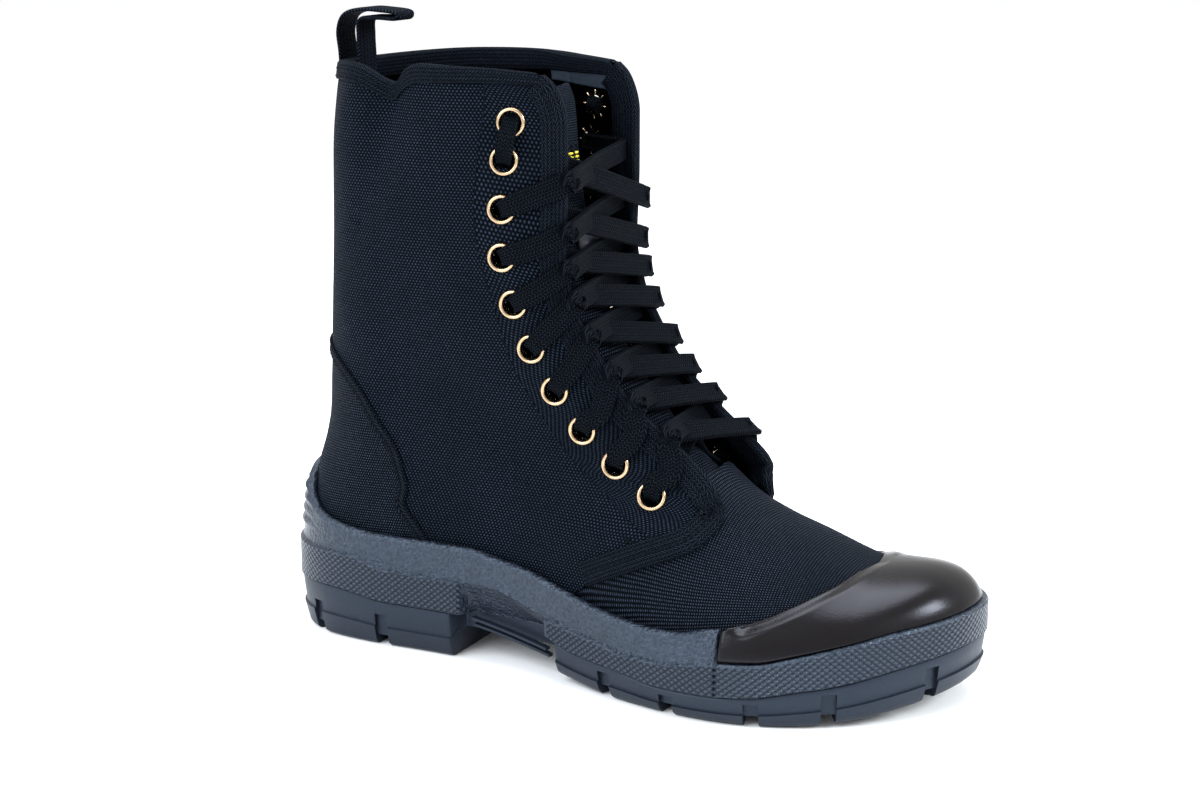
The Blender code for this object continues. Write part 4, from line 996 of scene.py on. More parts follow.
def finish_piece(mesh_data: bmesh.types.BMesh, name: str, materials: Sequence[bpy.types.Material],
                 stands_for: Sequence[str] = (), wall: float = 0.0, inner_offset: int = 0,
                 sharp: float = 42.0) -> bpy.types.Object:
    """Turn a bmesh into a piece that rides on the boot.

    Args:
        mesh_data: The mesh, which is freed.
        name: The piece's name.
        materials: Its finishes.
        stands_for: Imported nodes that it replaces.
        wall: Thickness given inwards by a Solidify modifier.
        inner_offset: How much further along the finishes the inner face takes its own.
        sharp: Angle in degrees past which an edge is not shaded smooth.

    Returns:
        The piece.
    """
    bmesh.ops.translate(mesh_data, verts=mesh_data.verts, vec=(-HEEL_CENTRE, 0.0, 0.0))
    mesh = bpy.data.meshes.new(name)
    mesh_data.to_mesh(mesh)
    mesh_data.free()
    made = bpy.data.objects.new(name, mesh)
    bpy.context.collection.objects.link(made)
    for material in materials:
        mesh.materials.append(material)
    mesh.shade_smooth()
    mesh.set_sharp_from_angle(angle=math.radians(sharp))
    if wall:
        solid = made.modifiers.new("wall", "SOLIDIFY")
        solid.thickness = wall
        solid.offset = -1.0
        solid.material_offset = inner_offset
    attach(made, "root")
    if stands_for:
        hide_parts(*stands_for)
    LOG.info("%s: %d faces", name, len(mesh.polygons))
    return made


def ribbon(points: Sequence[Vector], ups: Sequence[Vector], section: Sequence[tuple[float, float]],
           scales: Sequence[tuple[float, float]] | None = None) -> bmesh.types.BMesh:
    """A closed strip of one section along a line.

    Args:
        points: The line.
        ups: Direction that the strip's face looks at each point.
        section: Closed section as places across and above.
        scales: Scale of the section across and above at each point.

    Returns:
        The closed strip.
    """
    count = len(section)
    sides, highs, travelled = [], [], [0.0]
    for number, point in enumerate(points):
        before = points[max(number - 1, 0)]
        after = points[min(number + 1, len(points) - 1)]
        run = (after - before).normalized()
        side = run.cross(ups[number]).normalized()
        sides.append(side)
        highs.append(side.cross(run).normalized())
        if number:
            travelled.append(travelled[-1] + (point - before).length)

    def place(column: int, row: int) -> Vector:
        """Point of the strip.

        Args:
            column: Column of the sheet.
            row: Row of the sheet.

        Returns:
            The point.
        """
        across, above = section[column % count]
        wide, high = scales[row] if scales else (1.0, 1.0)
        return points[row] + sides[row] * across * wide + highs[row] * above * high

    made = patch(count, len(points) - 1, place,
                 lambda column, row: (section[column % count][0], travelled[row]))
    close(made)
    return made


def flat_section(width: float, thick: float, edge: float = 1.0, ribs: int = 0, steps: int = 16) -> list:
    """Closed section of a flat band.

    Args:
        width: Width across.
        thick: Thickness in the middle.
        edge: Thickness near the edges as a share of the middle's.
        ribs: Lengthwise ribs on the face.
        steps: Points along each face.

    Returns:
        The section's points.
    """
    top = []
    for share in even(-1.0, 1.0, steps):
        rounded = 1.0 - max(0.0, (abs(share) - 0.8) / 0.2) ** 2.4
        bulge = mix(1.0, edge, ease((abs(share) - 0.45) / 0.35)) * rounded
        wave = 0.10 * math.cos(share * ribs * math.pi) if ribs else 0.0
        top.append((share * width / 2.0, thick / 2.0 * max(bulge + wave * (abs(share) < 0.85), 0.08)))
    return top + [(across, -above) for across, above in reversed(top)]


def stitch_row(line: Sequence[tuple[Vector, Vector]], mesh_data: bmesh.types.BMesh, stitch: float = 2.3,
               gap: float = 0.8, thick: float = 0.6) -> None:
    """Add a row of stitches along a line.

    Args:
        line: Points and normals.
        mesh_data: The mesh that gets them.
        stitch: Length of a stitch in millimetres.
        gap: Space between two in millimetres.
        thick: Thread's thickness in millimetres.
    """
    travelled = 0.0
    target = stitch * MM / 2.0
    for (start, normal), (end, _) in zip(line, line[1:]):
        run = end - start
        length = run.length
        while length > 0.0 and travelled + length >= target:
            share = (target - travelled) / length
            forward = run.normalized()
            side = normal.cross(forward).normalized()
            turn = Matrix((forward, side, forward.cross(side))).transposed().to_4x4()
            size = Matrix.Diagonal((stitch * MM / 2.0, thick * MM / 2.0, thick * MM / 2.0, 1.0))
            bmesh.ops.create_uvsphere(mesh_data, u_segments=6, v_segments=4, radius=1.0,
                                      matrix=Matrix.Translation(mix(start, end, share)) @ turn @ size)
            target += (stitch + gap) * MM
        travelled += length


@dataclass
class Crease:
    """A soft trough or ridge on the canvas, from one place on the quarters to another."""

    start: tuple[float, float]
    end: tuple[float, float]
    half_width: float
    depth: float
    line: list[Vector] = field(default_factory=list)


class Canvas:
    """Face of the quarters with its creases, for the panels and what is sewn on them."""

    def __init__(self, last: Last) -> None:
        """Place the creases.

        Args:
            last: Form of the boot.
        """
        self.last = last
        self.creases = [
            Crease((0.70, -0.33), (0.96, -0.43), 7.0, -2.2),
            Crease((0.80, -0.24), (0.98, -0.34), 8.0, 1.4),
            Crease((0.66, -0.45), (0.93, -0.58), 12.0, 0.9),
            Crease((0.50, -0.40), (0.40, -0.62), 14.0, -1.3),
            Crease((0.44, -0.55), (0.33, -0.74), 10.0, -0.9),
            Crease((0.36, -0.46), (0.27, -0.70), 11.0, 0.8),
            Crease((0.62, -0.20), (0.50, -0.38), 12.0, 0.7),
            Crease((0.26, -0.80), (0.20, -0.93), 5.0, -0.7),
            Crease((0.50, 0.40), (0.40, 0.62), 13.0, -1.2),
            Crease((0.42, 0.50), (0.31, 0.72), 10.0, -0.8),
            Crease((0.78, 0.30), (0.93, 0.42), 9.0, -1.1),
            Crease((0.58, 0.20), (0.48, 0.36), 11.0, 0.7),
        ]
        for crease in self.creases:
            rows = even(crease.start[0], crease.end[0], CREASE_STEPS)
            columns = even(crease.start[1], crease.end[1], CREASE_STEPS)
            crease.line = [last.quarter(row, across) for row, across in zip(rows, columns)]

    def depth(self, point: Vector) -> float:
        """How far the creases move a point along its normal.

        Args:
            point: The point.

        Returns:
            The distance, positive outwards.
        """
        total = 0.0
        for crease in self.creases:
            best, place = 1.0, 0.0
            for number, middle in enumerate(crease.line):
                distance = (point - middle).length
                if distance < best:
                    best, place = distance, number / CREASE_STEPS
            if best < 3.0 * crease.half_width * MM:
                fade = math.exp(-(best / (crease.half_width * MM)) ** 2)
                total += crease.depth * MM * fade * math.sin(math.pi * (0.1 + 0.8 * place))
        return total

    def spot(self, row: float, across: float, lift: float = 0.0) -> tuple[Vector, Vector]:
        """Point at a lift above the creased face, and the normal there."""
        point, normal = self.last.frame(row, across)[:2]
        return point + normal * (lift + self.depth(point)), normal

    def beside(self, row: float, across: float, offset: Vector, lift: float) -> tuple[Vector, Vector]:
        """Point on the creased face at an offset from a place, and the normal there."""
        point = self.last.quarter(row, across)
        return self.spot(*self.last.nearest(point + offset, row, across), lift)


@dataclass
class Eyelets:
    """Brass eyelets, their places and the claws behind them."""

    last: Last
    materials: Materials
    count: int = 10
    pitch: float = 18.8 * MM
    first: float = 221.5 * MM
    radius: float = 5.9 * MM
    hole: float = 4.1 * MM
    high: float = 1.25 * MM
    steps: int = 30
    claw_count: int = 8
    claw_reach: float = 5.2 * MM
    claw_size: tuple = (2.6 * MM, 0.75 * MM, 0.45 * MM)
    places: dict = field(init=False)

    def __post_init__(self) -> None:
        """Work out the places of both sides."""
        self.places = {side: self.along_edge(side.value) for side in Side}

    def along_edge(self, side: float) -> list[EyeletPlace]:
        """Places from the top one down at an even pitch, behind the throat's edge.

        Args:
            side: Sign of the side.

        Returns:
            The places.
        """
        last = self.last
        trail = []
        guess = (1.0, side * 0.85)
        for edge_row in even(1.0, 0.30, 70):
            edge, normal = last.frame(edge_row, side * 0.999)[:2]
            ahead = last.quarter(min(edge_row + 0.01, 1.0), side) - last.quarter(edge_row - 0.01, side)
            inward = normal.cross(ahead).normalized() * side
            guess = last.nearest(edge - inward * EYELET_INSET.at(edge_row) * MM, *guess)
            trail.append((*guess, edge_row))
        start = next(number for number, item in enumerate(trail) if last.quarter(*item[:2]).z <= self.first)
        places: list[EyeletPlace] = []
        travelled, target = 0.0, 0.0
        here = last.quarter(*trail[start][:2])
        for number in range(start, len(trail)):
            there = last.quarter(*trail[number][:2])
            length = (there - here).length
            while travelled + length >= target and len(places) < self.count:
                share = (target - travelled) / length if length else 0.0
                before = trail[max(number - 1, start)]
                row, across, edge_row = (mix(before[item], trail[number][item], share) for item in range(3))
                point, normal = last.frame(row, across)[:2]
                places.append(EyeletPlace(point, normal, edge_row, row, across))
                target += self.pitch
            travelled += length
            here = there
        return places

    def ring(self, mesh_data: bmesh.types.BMesh, place: EyeletPlace) -> None:
        """Add one rolled ring with its barrel, spun round its axis.

        Args:
            mesh_data: The mesh that gets it.
            place: Where the eyelet sits.
        """
        before = set(mesh_data.verts)
        profile = [(self.hole, -2.6 * MM), (self.hole, 0.2 * MM)]
        middle = (self.radius + self.hole) / 2.0
        half = (self.radius - self.hole) / 2.0
        for angle in even(math.pi, 0.0, 8):
            profile.append((middle + half * math.cos(angle), 0.25 * MM + self.high * math.sin(angle)))
        made = [mesh_data.verts.new((radius, 0.0, rise)) for radius, rise in profile]
        edges = [mesh_data.edges.new(pair) for pair in zip(made, made[1:])]
        bmesh.ops.spin(mesh_data, geom=made + edges, axis=(0, 0, 1), cent=(0, 0, 0), dvec=(0, 0, 0),
                       angle=2.0 * math.pi, steps=self.steps, use_merge=True)
        bmesh.ops.transform(mesh_data, verts=[vert for vert in mesh_data.verts if vert not in before],
                            matrix=place.matrix())

    def claws(self, mesh_data: bmesh.types.BMesh, place: EyeletPlace) -> None:
        """Add the split barrel's prongs, pressed flat on the lining.

        Args:
            mesh_data: The mesh that gets it.
            place: Where the eyelet sits.
        """
        out = Matrix.Translation((self.claw_reach, 0.0, -CANVAS - 0.5 * MM))
        shape = out @ Matrix.Diagonal((*self.claw_size, 1.0))
        for number in range(self.claw_count):
            around = Matrix.Rotation(2.0 * math.pi * number / self.claw_count + place.row, 4, "Z")
            bmesh.ops.create_uvsphere(mesh_data, u_segments=6, v_segments=4, radius=0.5,
                                      matrix=place.matrix() @ around @ shape)

    def build(self) -> None:
        """Make the rings of both sides."""
        for side in Side:
            mesh_data = bmesh.new()
            for place in self.places[side]:
                self.ring(mesh_data, place)
                self.claws(mesh_data, place)
            bmesh.ops.recalc_face_normals(mesh_data, faces=mesh_data.faces)
            names = [f"eyelet_{side.word}_{number}" for number in range(1, self.count + 1)]
            finish_piece(mesh_data, f"brass_eyelets_{side.word}", self.materials.get("brass"), names,
                         sharp=60.0)


@dataclass
class Upper:
    """Quarters and vamp of canvas, with their tapes, bindings and stitches."""

    canvas: Canvas
    eyelets: Eyelets
    materials: Materials
    columns: int = 150
    rows: int = 150
    facing_columns: int = 32
    hole: float = 4.7 * MM

    def grid_row(self, row: int) -> float:
        """Row of the quarters for a row of the grid, closer together below the flap's corner.

        Args:
            row: Row of the grid.

        Returns:
            Row of the quarters' face.
        """
        share = row / self.rows
        if share < 0.45:
            return CORNER_ROW * share / 0.45
        return mix(CORNER_ROW, 1.0, (share - 0.45) / 0.55)

    def grid_across(self, column: int, row: float) -> float:
        """Column of the quarters, with one of the grid's on the facing's stitch line.

        Args:
            column: Column of the grid.
            row: Row of the quarters' face.

        Returns:
            Column of the quarters' face, without its sign.
        """
        plain = self.columns - self.facing_columns
        line = FACING.at(row)
        if column <= plain:
            return line * column / plain
        return mix(line, 1.0, (column - plain) / self.facing_columns)

    def quarter(self, side: Side) -> None:
        """One side's quarter with its counter and facing panels and eyelet holes.

        Args:
            side: Side of the foot.
        """
        last = self.canvas.last
        grid = {}
        for row in range(self.rows + 1):
            level = self.grid_row(row)
            travelled = 0.0
            for column in range(self.columns + 1):
                point = last.quarter(level, side.value * self.grid_across(column, level))
                if column:
                    travelled += (point - grid[column - 1, row][0]).length
                grid[column, row] = (point, travelled)

        def chart(column: int, row: int) -> tuple[float, float]:
            """Length along the face and height."""
            point, travelled = grid[column, row]
            return side.value * travelled, point.z

        mesh_data = patch(self.columns, self.rows, lambda column, row: grid[column, row][0], chart)
        face_away(mesh_data, SHAFT_MIDDLE)
        layer = mesh_data.loops.layers.uv[CHART]
        place_of = {}
        key_of = {tuple(round(value, 7) for value in point): key for key, (point, _) in grid.items()}
        for vert in mesh_data.verts:
            place_of[vert] = key_of.get(tuple(round(value, 7) for value in vert.co), (0, 0))
        plain = self.columns - self.facing_columns
        for face in mesh_data.faces:
            cells = [place_of[vert] for vert in face.verts]
            column = min(cell[0] for cell in cells)
            level = self.grid_row(min(cell[1] for cell in cells))
            across = self.grid_across(column, level)
            centre = face.calc_center_median()
            if column >= plain and level > 0.2:
                face.material_index = FACING_FINISH
                for loop in face.loops:
                    key = place_of[loop.vert]
                    reach = grid[self.columns, key[1]][1] - grid[key][1]
                    loop[layer].uv = (reach, self.grid_row(key[1]) * FACING_LENGTH)
            elif across < COUNTER_REACH and centre.z < COUNTER_EDGE.at(across) * MM:
                face.material_index = COUNTER_FINISH
        lifted = {}
        for vert in mesh_data.verts:
            column, row = place_of[vert]
            level = self.grid_row(row)
            step = 0.30 * MM * ease((column - plain + 1.0) / 2.0) if level > 0.22 else 0.0
            lifted[vert] = vert.normal * (self.canvas.depth(vert.co) + step)
        for vert, move in lifted.items():
            vert.co += move
        holes = []
        for face in mesh_data.faces:
            centre = face.calc_center_median()
            if any((centre - place.centre).length < self.hole for place in self.eyelets.places[side]):
                holes.append(face)
        bmesh.ops.delete(mesh_data, geom=holes, context="FACES")
        finishes = self.materials.get("canvas", "lining", "counter_canvas", "lining", "facing_canvas", "lining")
        finish_piece(mesh_data, f"quarter_{side.word}", finishes, ["upper"], wall=CANVAS,
                     inner_offset=1)

    def vamp(self) -> None:
        """Canvas over the forefoot, from the flap's underside to beneath the toe cap."""
        last = self.canvas.last
        columns, rows = 220, 64
        troughs = [(0.70, 0.30, 9.0, -1.0), (0.66, -0.28, 8.0, -0.9), (0.745, 0.05, 8.0, -0.8)]

        def place(column: int, row: int) -> Vector:
            """Point of the vamp before its creases.

            Args:
                column: Column of the sheet.
                row: Row of the sheet.

            Returns:
                The point.
            """
            climb = row / rows
            start = last.turn_at(LOWER_EDGE.at(climb))
            return last.vamp(mix(start, last.mirror(start), column / columns), climb)

        def chart(column: int, row: int) -> tuple[float, float]:
            """Length along the foot and down from the ridge."""
            side = -1.0 if column < columns / 2 else 1.0
            return place(column, row).x, side * (1.0 - row / rows) * 75.0 * MM

        def lift(point: Vector) -> float:
            """Inset of the canvas with its troughs.

            Args:
                point: The point.

            Returns:
                The distance, positive outwards.
            """
            total = -VAMP_INSET
            for along, across, width, depth in troughs:
                bend = 22.0 * MM * math.cos(point.y / (30.0 * MM))
                distance = (point.x - along * LENGTH + 14.0 * MM - bend * 0.6) / (width * MM)
                fade = math.exp(-((point.y - across * BALL) / (26.0 * MM)) ** 2)
                total += depth * MM * math.exp(-distance * distance) * fade
            return total

        mesh_data = patch(columns, rows, place, chart)
        face_away(mesh_data, Vector((190.0 * MM, 0.0, 20.0 * MM)))
        bmesh.ops.remove_doubles(mesh_data, verts=mesh_data.verts, dist=0.05 * MM)
        mesh_data.normal_update()
        lift_by(mesh_data, lift)
        finishes = self.materials.get("vamp_canvas", "lining")
        finish_piece(mesh_data, "vamp", finishes, ["upper"], wall=VAMP_WALL, inner_offset=1)

    def strip(self, name: str, finish: str, node: str, path: Sequence[tuple[float, float]],
              section: Sequence[tuple[float, float]], inward: Callable[[int], Vector]) -> list:
        """A tape whose face follows a section beside a path.

        Args:
            name: The piece's name.
            finish: Its finish.
            node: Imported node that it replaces.
            path: Rows and columns along it.
            section: Reach beside the path and lift above the face, in millimetres.
            inward: Direction of reach at each place.

        Returns:
            The face's points, one list for each place of the path.
        """
        section = [(reach * MM, lift * MM) for reach, lift in section]
        grid = []
        travelled = [0.0]
        for number, (row, across) in enumerate(path):
            points = []
            way = inward(number)
            for reach, lift in section:
                if reach <= 0.0 and abs(reach) < 1.6 * MM and len(section) > 8:
                    point, normal = self.canvas.spot(row, across, lift)
                    points.append(point + way * reach)
                else:
                    points.append(self.canvas.beside(row, across, way * reach, lift)[0])
            grid.append(points)
            if number:
                travelled.append(travelled[-1] + (points[0] - grid[-2][0]).length)
        run = [0.0]
        for first, second in zip(section, section[1:]):
            run.append(run[-1] + math.hypot(second[0] - first[0], second[1] - first[1]))
        mesh_data = patch(len(section) - 1, len(path) - 1, lambda column, row: grid[row][column],
                          lambda column, row: (run[column], travelled[row]))
        middle = grid[len(grid) // 2][1]
        normal = self.canvas.last.frame(*path[len(path) // 2])[1]
        start = min(mesh_data.verts, key=lambda vert: (vert.co - middle).length)
        if start.normal.dot(normal) < 0.0:
            bmesh.ops.reverse_faces(mesh_data, faces=mesh_data.faces)
        finish_piece(mesh_data, name, self.materials.get(finish), [node], wall=TAPE, sharp=70.0)
        return grid

    def edge_bindings(self) -> None:
        """Binding folded over each throat edge and the flap's lower edge."""
        last = self.canvas.last
        for side in Side:
            path = [(row, side.value * 0.999) for row in even(0.13, 0.992, 190)]

            def inward(number: int) -> Vector:
                """Direction away from the throat's edge.

                Args:
                    number: Place along the path.

                Returns:
                    Unit vector.
                """
                row, across = path[number]
                normal = last.frame(row, across)[1]
                ahead = last.quarter(min(row + 0.006, 1.0), side.value) - last.quarter(row - 0.006, side.value)
                return normal.cross(ahead).normalized() * -side.value

            grid = self.strip(f"edge_binding_{side.word}", "binding", f"edge_tape_{side.word}", path,
                              EDGE_SECTION, inward)
            self.sewing(f"edge_stitches_{side.word}",
                        [self.line_between(grid, 1, 2), self.line_between(grid, 3, 4)])

    @staticmethod
    def line_between(grid: Sequence[Sequence[Vector]], first: int, second: int) -> list:
        """Line along a strip's face between two of its columns, with its normals.

        Args:
            grid: The strip's points, one list for each place.
            first: One column.
            second: The other column.

        Returns:
            Points and normals.
        """
        made = []
        for number, points in enumerate(grid):
            ahead = grid[min(number + 1, len(grid) - 1)][first] - grid[max(number - 1, 0)][first]
            beside = points[second] - points[first]
            normal = ahead.cross(beside).normalized()
            made.append(((points[first] + points[second]) / 2.0, normal))
        return made

    def sewing(self, name: str, lines: Sequence[Sequence[tuple[Vector, Vector]]], thick: float = 0.6) -> None:
        """Stitches along several lines, as one piece.

        Args:
            name: The piece's name.
            lines: Points and normals of each line.
            thick: Thread's thickness in millimetres.
        """
        mesh_data = bmesh.new()
        for line in lines:
            stitch_row(line, mesh_data, thick=thick)
        finish_piece(mesh_data, name, self.materials.get("thread"), sharp=80.0)

    def collar_binding(self) -> None:
        """Binding folded over the collar, wide on its inside."""
        last = self.canvas.last
        path = [(0.998, across) for across in even(-0.985, 0.985, 300)]

        def inward(number: int) -> Vector:
            """Direction down from the collar."""
            return -last.frame(*path[number])[2]

        grid = self.strip("collar_binding", "binding", "collar_tape", path, COLLAR_SECTION, inward)
        self.sewing("collar_stitches", [self.line_between(grid, 1, 2), self.line_between(grid, 3, 4)])

    def counter_tape(self) -> None:
        """Tape over the counter's top edge, sewn twice."""
        last = self.canvas.last
        path = []
        for across in even(-0.612, 0.612, 150):
            path.append((last.row_at(across, COUNTER_EDGE.at(abs(across)) * MM), across))

        def inward(number: int) -> Vector:
            """Direction across the tape.

            Args:
                number: Place along the path.

            Returns:
                Unit vector.
            """
            before = last.quarter(*path[max(number - 1, 0)])
            after = last.quarter(*path[min(number + 1, len(path) - 1)])
            return last.frame(*path[number])[1].cross(after - before).normalized()

        grid = self.strip("counter_tape_dressed", "tape", "counter_tape", path, COUNTER_SECTION, inward)
        self.sewing("counter_stitches", [self.line_between(grid, 1, 2), self.line_between(grid, 4, 5)])

    def back_strip(self) -> None:
        """Tape up the back seam."""
        last = self.canvas.last
        low = last.row_at(0.0, 127.5 * MM)
        path = [(row, 0.0) for row in even(low, 0.985, 60)]
        section = [(reach * MM, lift * MM) for reach, lift in BACK_SECTION]
        grid = []
        for row, _ in path:
            points = []
            for reach, lift in section:
                column = reach / HEEL_ARC / (math.pi / 2.0) * ARC_SHARE
                points.append(self.canvas.spot(row, column, lift)[0])
            grid.append(points)
        mesh_data = patch(len(section) - 1, len(path) - 1, lambda column, row: grid[row][column],
                          lambda column, row: (section[column][0], last.quarter(*path[row]).z))
        face_away(mesh_data, SHAFT_MIDDLE)
        finish_piece(mesh_data, "back_tape", self.materials.get("tape"), ["back_strip"], wall=0.7 * MM)
        self.sewing("back_stitches", [self.line_between(grid, 1, 2), self.line_between(grid, 4, 5)])

    def facing_stitches(self) -> None:
        """Stitch line behind the eyelets and the zigzag tack at the flap's low end."""
        lines = []
        for side in Side:
            lines.append([self.canvas.spot(row, side.value * FACING.at(row), 0.25 * MM)
                          for row in even(0.226, 0.975, 160)])
            zigzag = []
            for number, share in enumerate(even(0.0, 1.0, 14)):
                row = mix(0.229, 0.205, share)
                point, normal = self.canvas.spot(row, side.value * mix(0.900, 0.975, share), 0.25 * MM)
                away = self.canvas.last.frame(row, side.value * 0.93)[2]
                zigzag.append((point + away * (1.3 * MM if number % 2 else -1.3 * MM), normal))
            lines.append(zigzag)
        self.sewing("facing_stitches", lines, thick=0.7)

    def lining_patch(self) -> None:
        """Grey satin patch inside the inner quarter below the collar, with its seam."""
        rows, columns = 16, 40
        level = even(0.902, 0.945, rows)
        across = even(0.66, 0.93, columns)

        def place(column: int, row: int) -> Vector:
            """Point of the patch, raised along its seam.

            Args:
                column: Column of the sheet.
                row: Row of the sheet.

            Returns:
                The point.
            """
            point, normal = self.canvas.spot(level[row], across[column], -CANVAS - 0.5 * MM)
            seam = math.exp(-((across[column] - 0.745) / 0.008) ** 2)
            return point + normal * 0.5 * MM * seam

        mesh_data = patch(columns, rows, place,
                          lambda column, row: (across[column] * 180.0 * MM, level[row] * 260.0 * MM))
        face_away(mesh_data, SHAFT_MIDDLE)
        bmesh.ops.reverse_faces(mesh_data, faces=mesh_data.faces)
        finish_piece(mesh_data, "lining_patch", self.materials.get("satin"), wall=0.4 * MM)

    def pull_loop(self) -> None:
        """Ribbed webbing loop bent forward over the collar."""
        base = self.canvas.last.quarter(1.0, 0.0)
        points = smooth_line([base + Vector((forward * MM, 0.0, high * MM)) for forward, high in PULL_LOOP], 7)
        ups = []
        for number in range(len(points)):
            run = (points[min(number + 1, len(points) - 1)] - points[max(number - 1, 0)]).normalized()
            ups.append(Vector((-run.z, 0.0, run.x)))
        mesh_data = ribbon(points, ups, flat_section(14.0 * MM, 1.6 * MM, ribs=10, steps=40))
        finish_piece(mesh_data, "webbing_loop", self.materials.get("tape"), ["pull_loop"])

    def build(self) -> None:
        """Make every piece of the upper."""
        for side in Side:
            self.quarter(side)
        self.vamp()
        self.edge_bindings()
        self.collar_binding()
        self.counter_tape()
        self.back_strip()
        self.facing_stitches()
        self.lining_patch()
        self.pull_loop()


@dataclass
class Tongue:
    """Tongue with its keeper and sewn tag."""

    materials: Materials
    keeper_place: float = 0.622
    keeper_width: float = 25.0 * MM
    keeper_shift: float = 7.5 * MM
    keeper_high: float = 12.5 * MM
    wall: float = 2.4 * MM

    @staticmethod
    def point(place: float, across: float, lift: float = 0.0) -> Vector:
        """Point of the tongue's front face at a lift above it.

        Args:
            place: From 0 at its foot to 1 at its top.
            across: From -1 to 1.
            lift: Height above the face.

        Returns:
            The point.
        """
        def middle(share: float) -> Vector:
            """Point of the tongue's middle line."""
            share = min(max(share, 0.0), 1.0)
            return Vector((TONGUE.at(share, 1) * LENGTH, 0.0, TONGUE.at(share, 2) * COLLAR))
        run = (middle(place + 0.02) - middle(place - 0.02)).normalized()
        back = Vector((-abs(run.z), 0.0, -abs(run.x)))
        half = TONGUE.at(place, 3) * SHAFT_HALF
        sag = TONGUE_SAG * (1.0 - math.cos(across * math.pi / 2.0))
        return middle(place) + Vector((0.0, across * half, 0.0)) + back * (sag - lift)

    def sheet(self) -> None:
        """The tongue's own padded canvas."""
        columns, rows = 48, 120

        def place(column: int, row: int) -> Vector:
            """Point of the tongue's rippled face.

            Args:
                column: Column of the sheet.
                row: Row of the sheet.

            Returns:
                The point.
            """
            along, across = row / rows, column / columns * 2.0 - 1.0
            ripple = 0.5 * MM * math.sin(along * 21.0 + across * 2.0) * (1.0 - across * across)
            rounded = across * (1.0 - 0.22 * ease((along - 0.93) / 0.07) * across * across)
            return self.point(along, rounded, ripple)

        mesh_data = patch(columns, rows, place, even_chart(columns, rows, 56.0 * MM, TONGUE_LENGTH))
        face_away(mesh_data, TONGUE_BACK)
        finishes = self.materials.get("counter_canvas", "lining")
        finish_piece(mesh_data, "tongue_sheet", finishes, ["tongue"], wall=self.wall, inner_offset=1)

    def keeper(self) -> None:
        """Satin leather loop with a raw edge, arched over the tongue."""
        columns, rows = 28, 8
        half = TONGUE.at(self.keeper_place, 3) * SHAFT_HALF
        height = 0.5 * self.keeper_high / TONGUE_LENGTH

        def place(column: int, row: int) -> Vector:
            """Point of the arched loop.

            Args:
                column: Column of the sheet.
                row: Row of the sheet.

            Returns:
                The point.
            """
            across = column / columns * 2.0 - 1.0
            arch = 3.2 * MM * (1.0 - across ** 4) + 1.4 * MM
            along = self.keeper_place + height * (row / rows * 2.0 - 1.0)
            return self.point(along, (across * self.keeper_width / 2.0 + self.keeper_shift) / half, arch)

        mesh_data = patch(columns, rows, place, even_chart(columns, rows, self.keeper_width, self.keeper_high))
        face_away(mesh_data, TONGUE_BACK)
        finishes = self.materials.get("leather", "raw_edge")
        made = finish_piece(mesh_data, "leather_keeper", finishes, ["tongue_keeper"], wall=1.3 * MM)
        made.modifiers["wall"].material_offset_rim = 1

    def tag(self) -> None:
        """Plain sewn tag: a black patch with three yellow bars."""
        columns, rows = 12, 8

        def place(column: int, row: int) -> Vector:
            """Point of the patch."""
            return self.point(0.782 + 0.055 * row / rows, -0.52 + 0.75 * column / columns, 0.8 * MM)

        mesh_data = patch(columns, rows, place, plain_chart)
        face_away(mesh_data, TONGUE_BACK)
        finish_piece(mesh_data, "tongue_tag", self.materials.get("tape"), wall=0.5 * MM)
        bars = bmesh.new()
        for level in (0.7955, 0.8045, 0.8135):
            line = []
            for share in even(0.0, 1.0, 20):
                point = self.point(level, -0.45 + 0.60 * share, 1.0 * MM)
                line.append((point, Vector((0.8, -0.3, 0.3)).normalized()))
            stitch_row(line, bars, stitch=4.2, gap=1.0, thick=1.3)
        finish_piece(bars, "tag_bars", self.materials.get("yellow_thread"), sharp=80.0)

    def build(self) -> None:
        """Make every piece of the tongue."""
        self.sheet()
        self.keeper()
        self.tag()


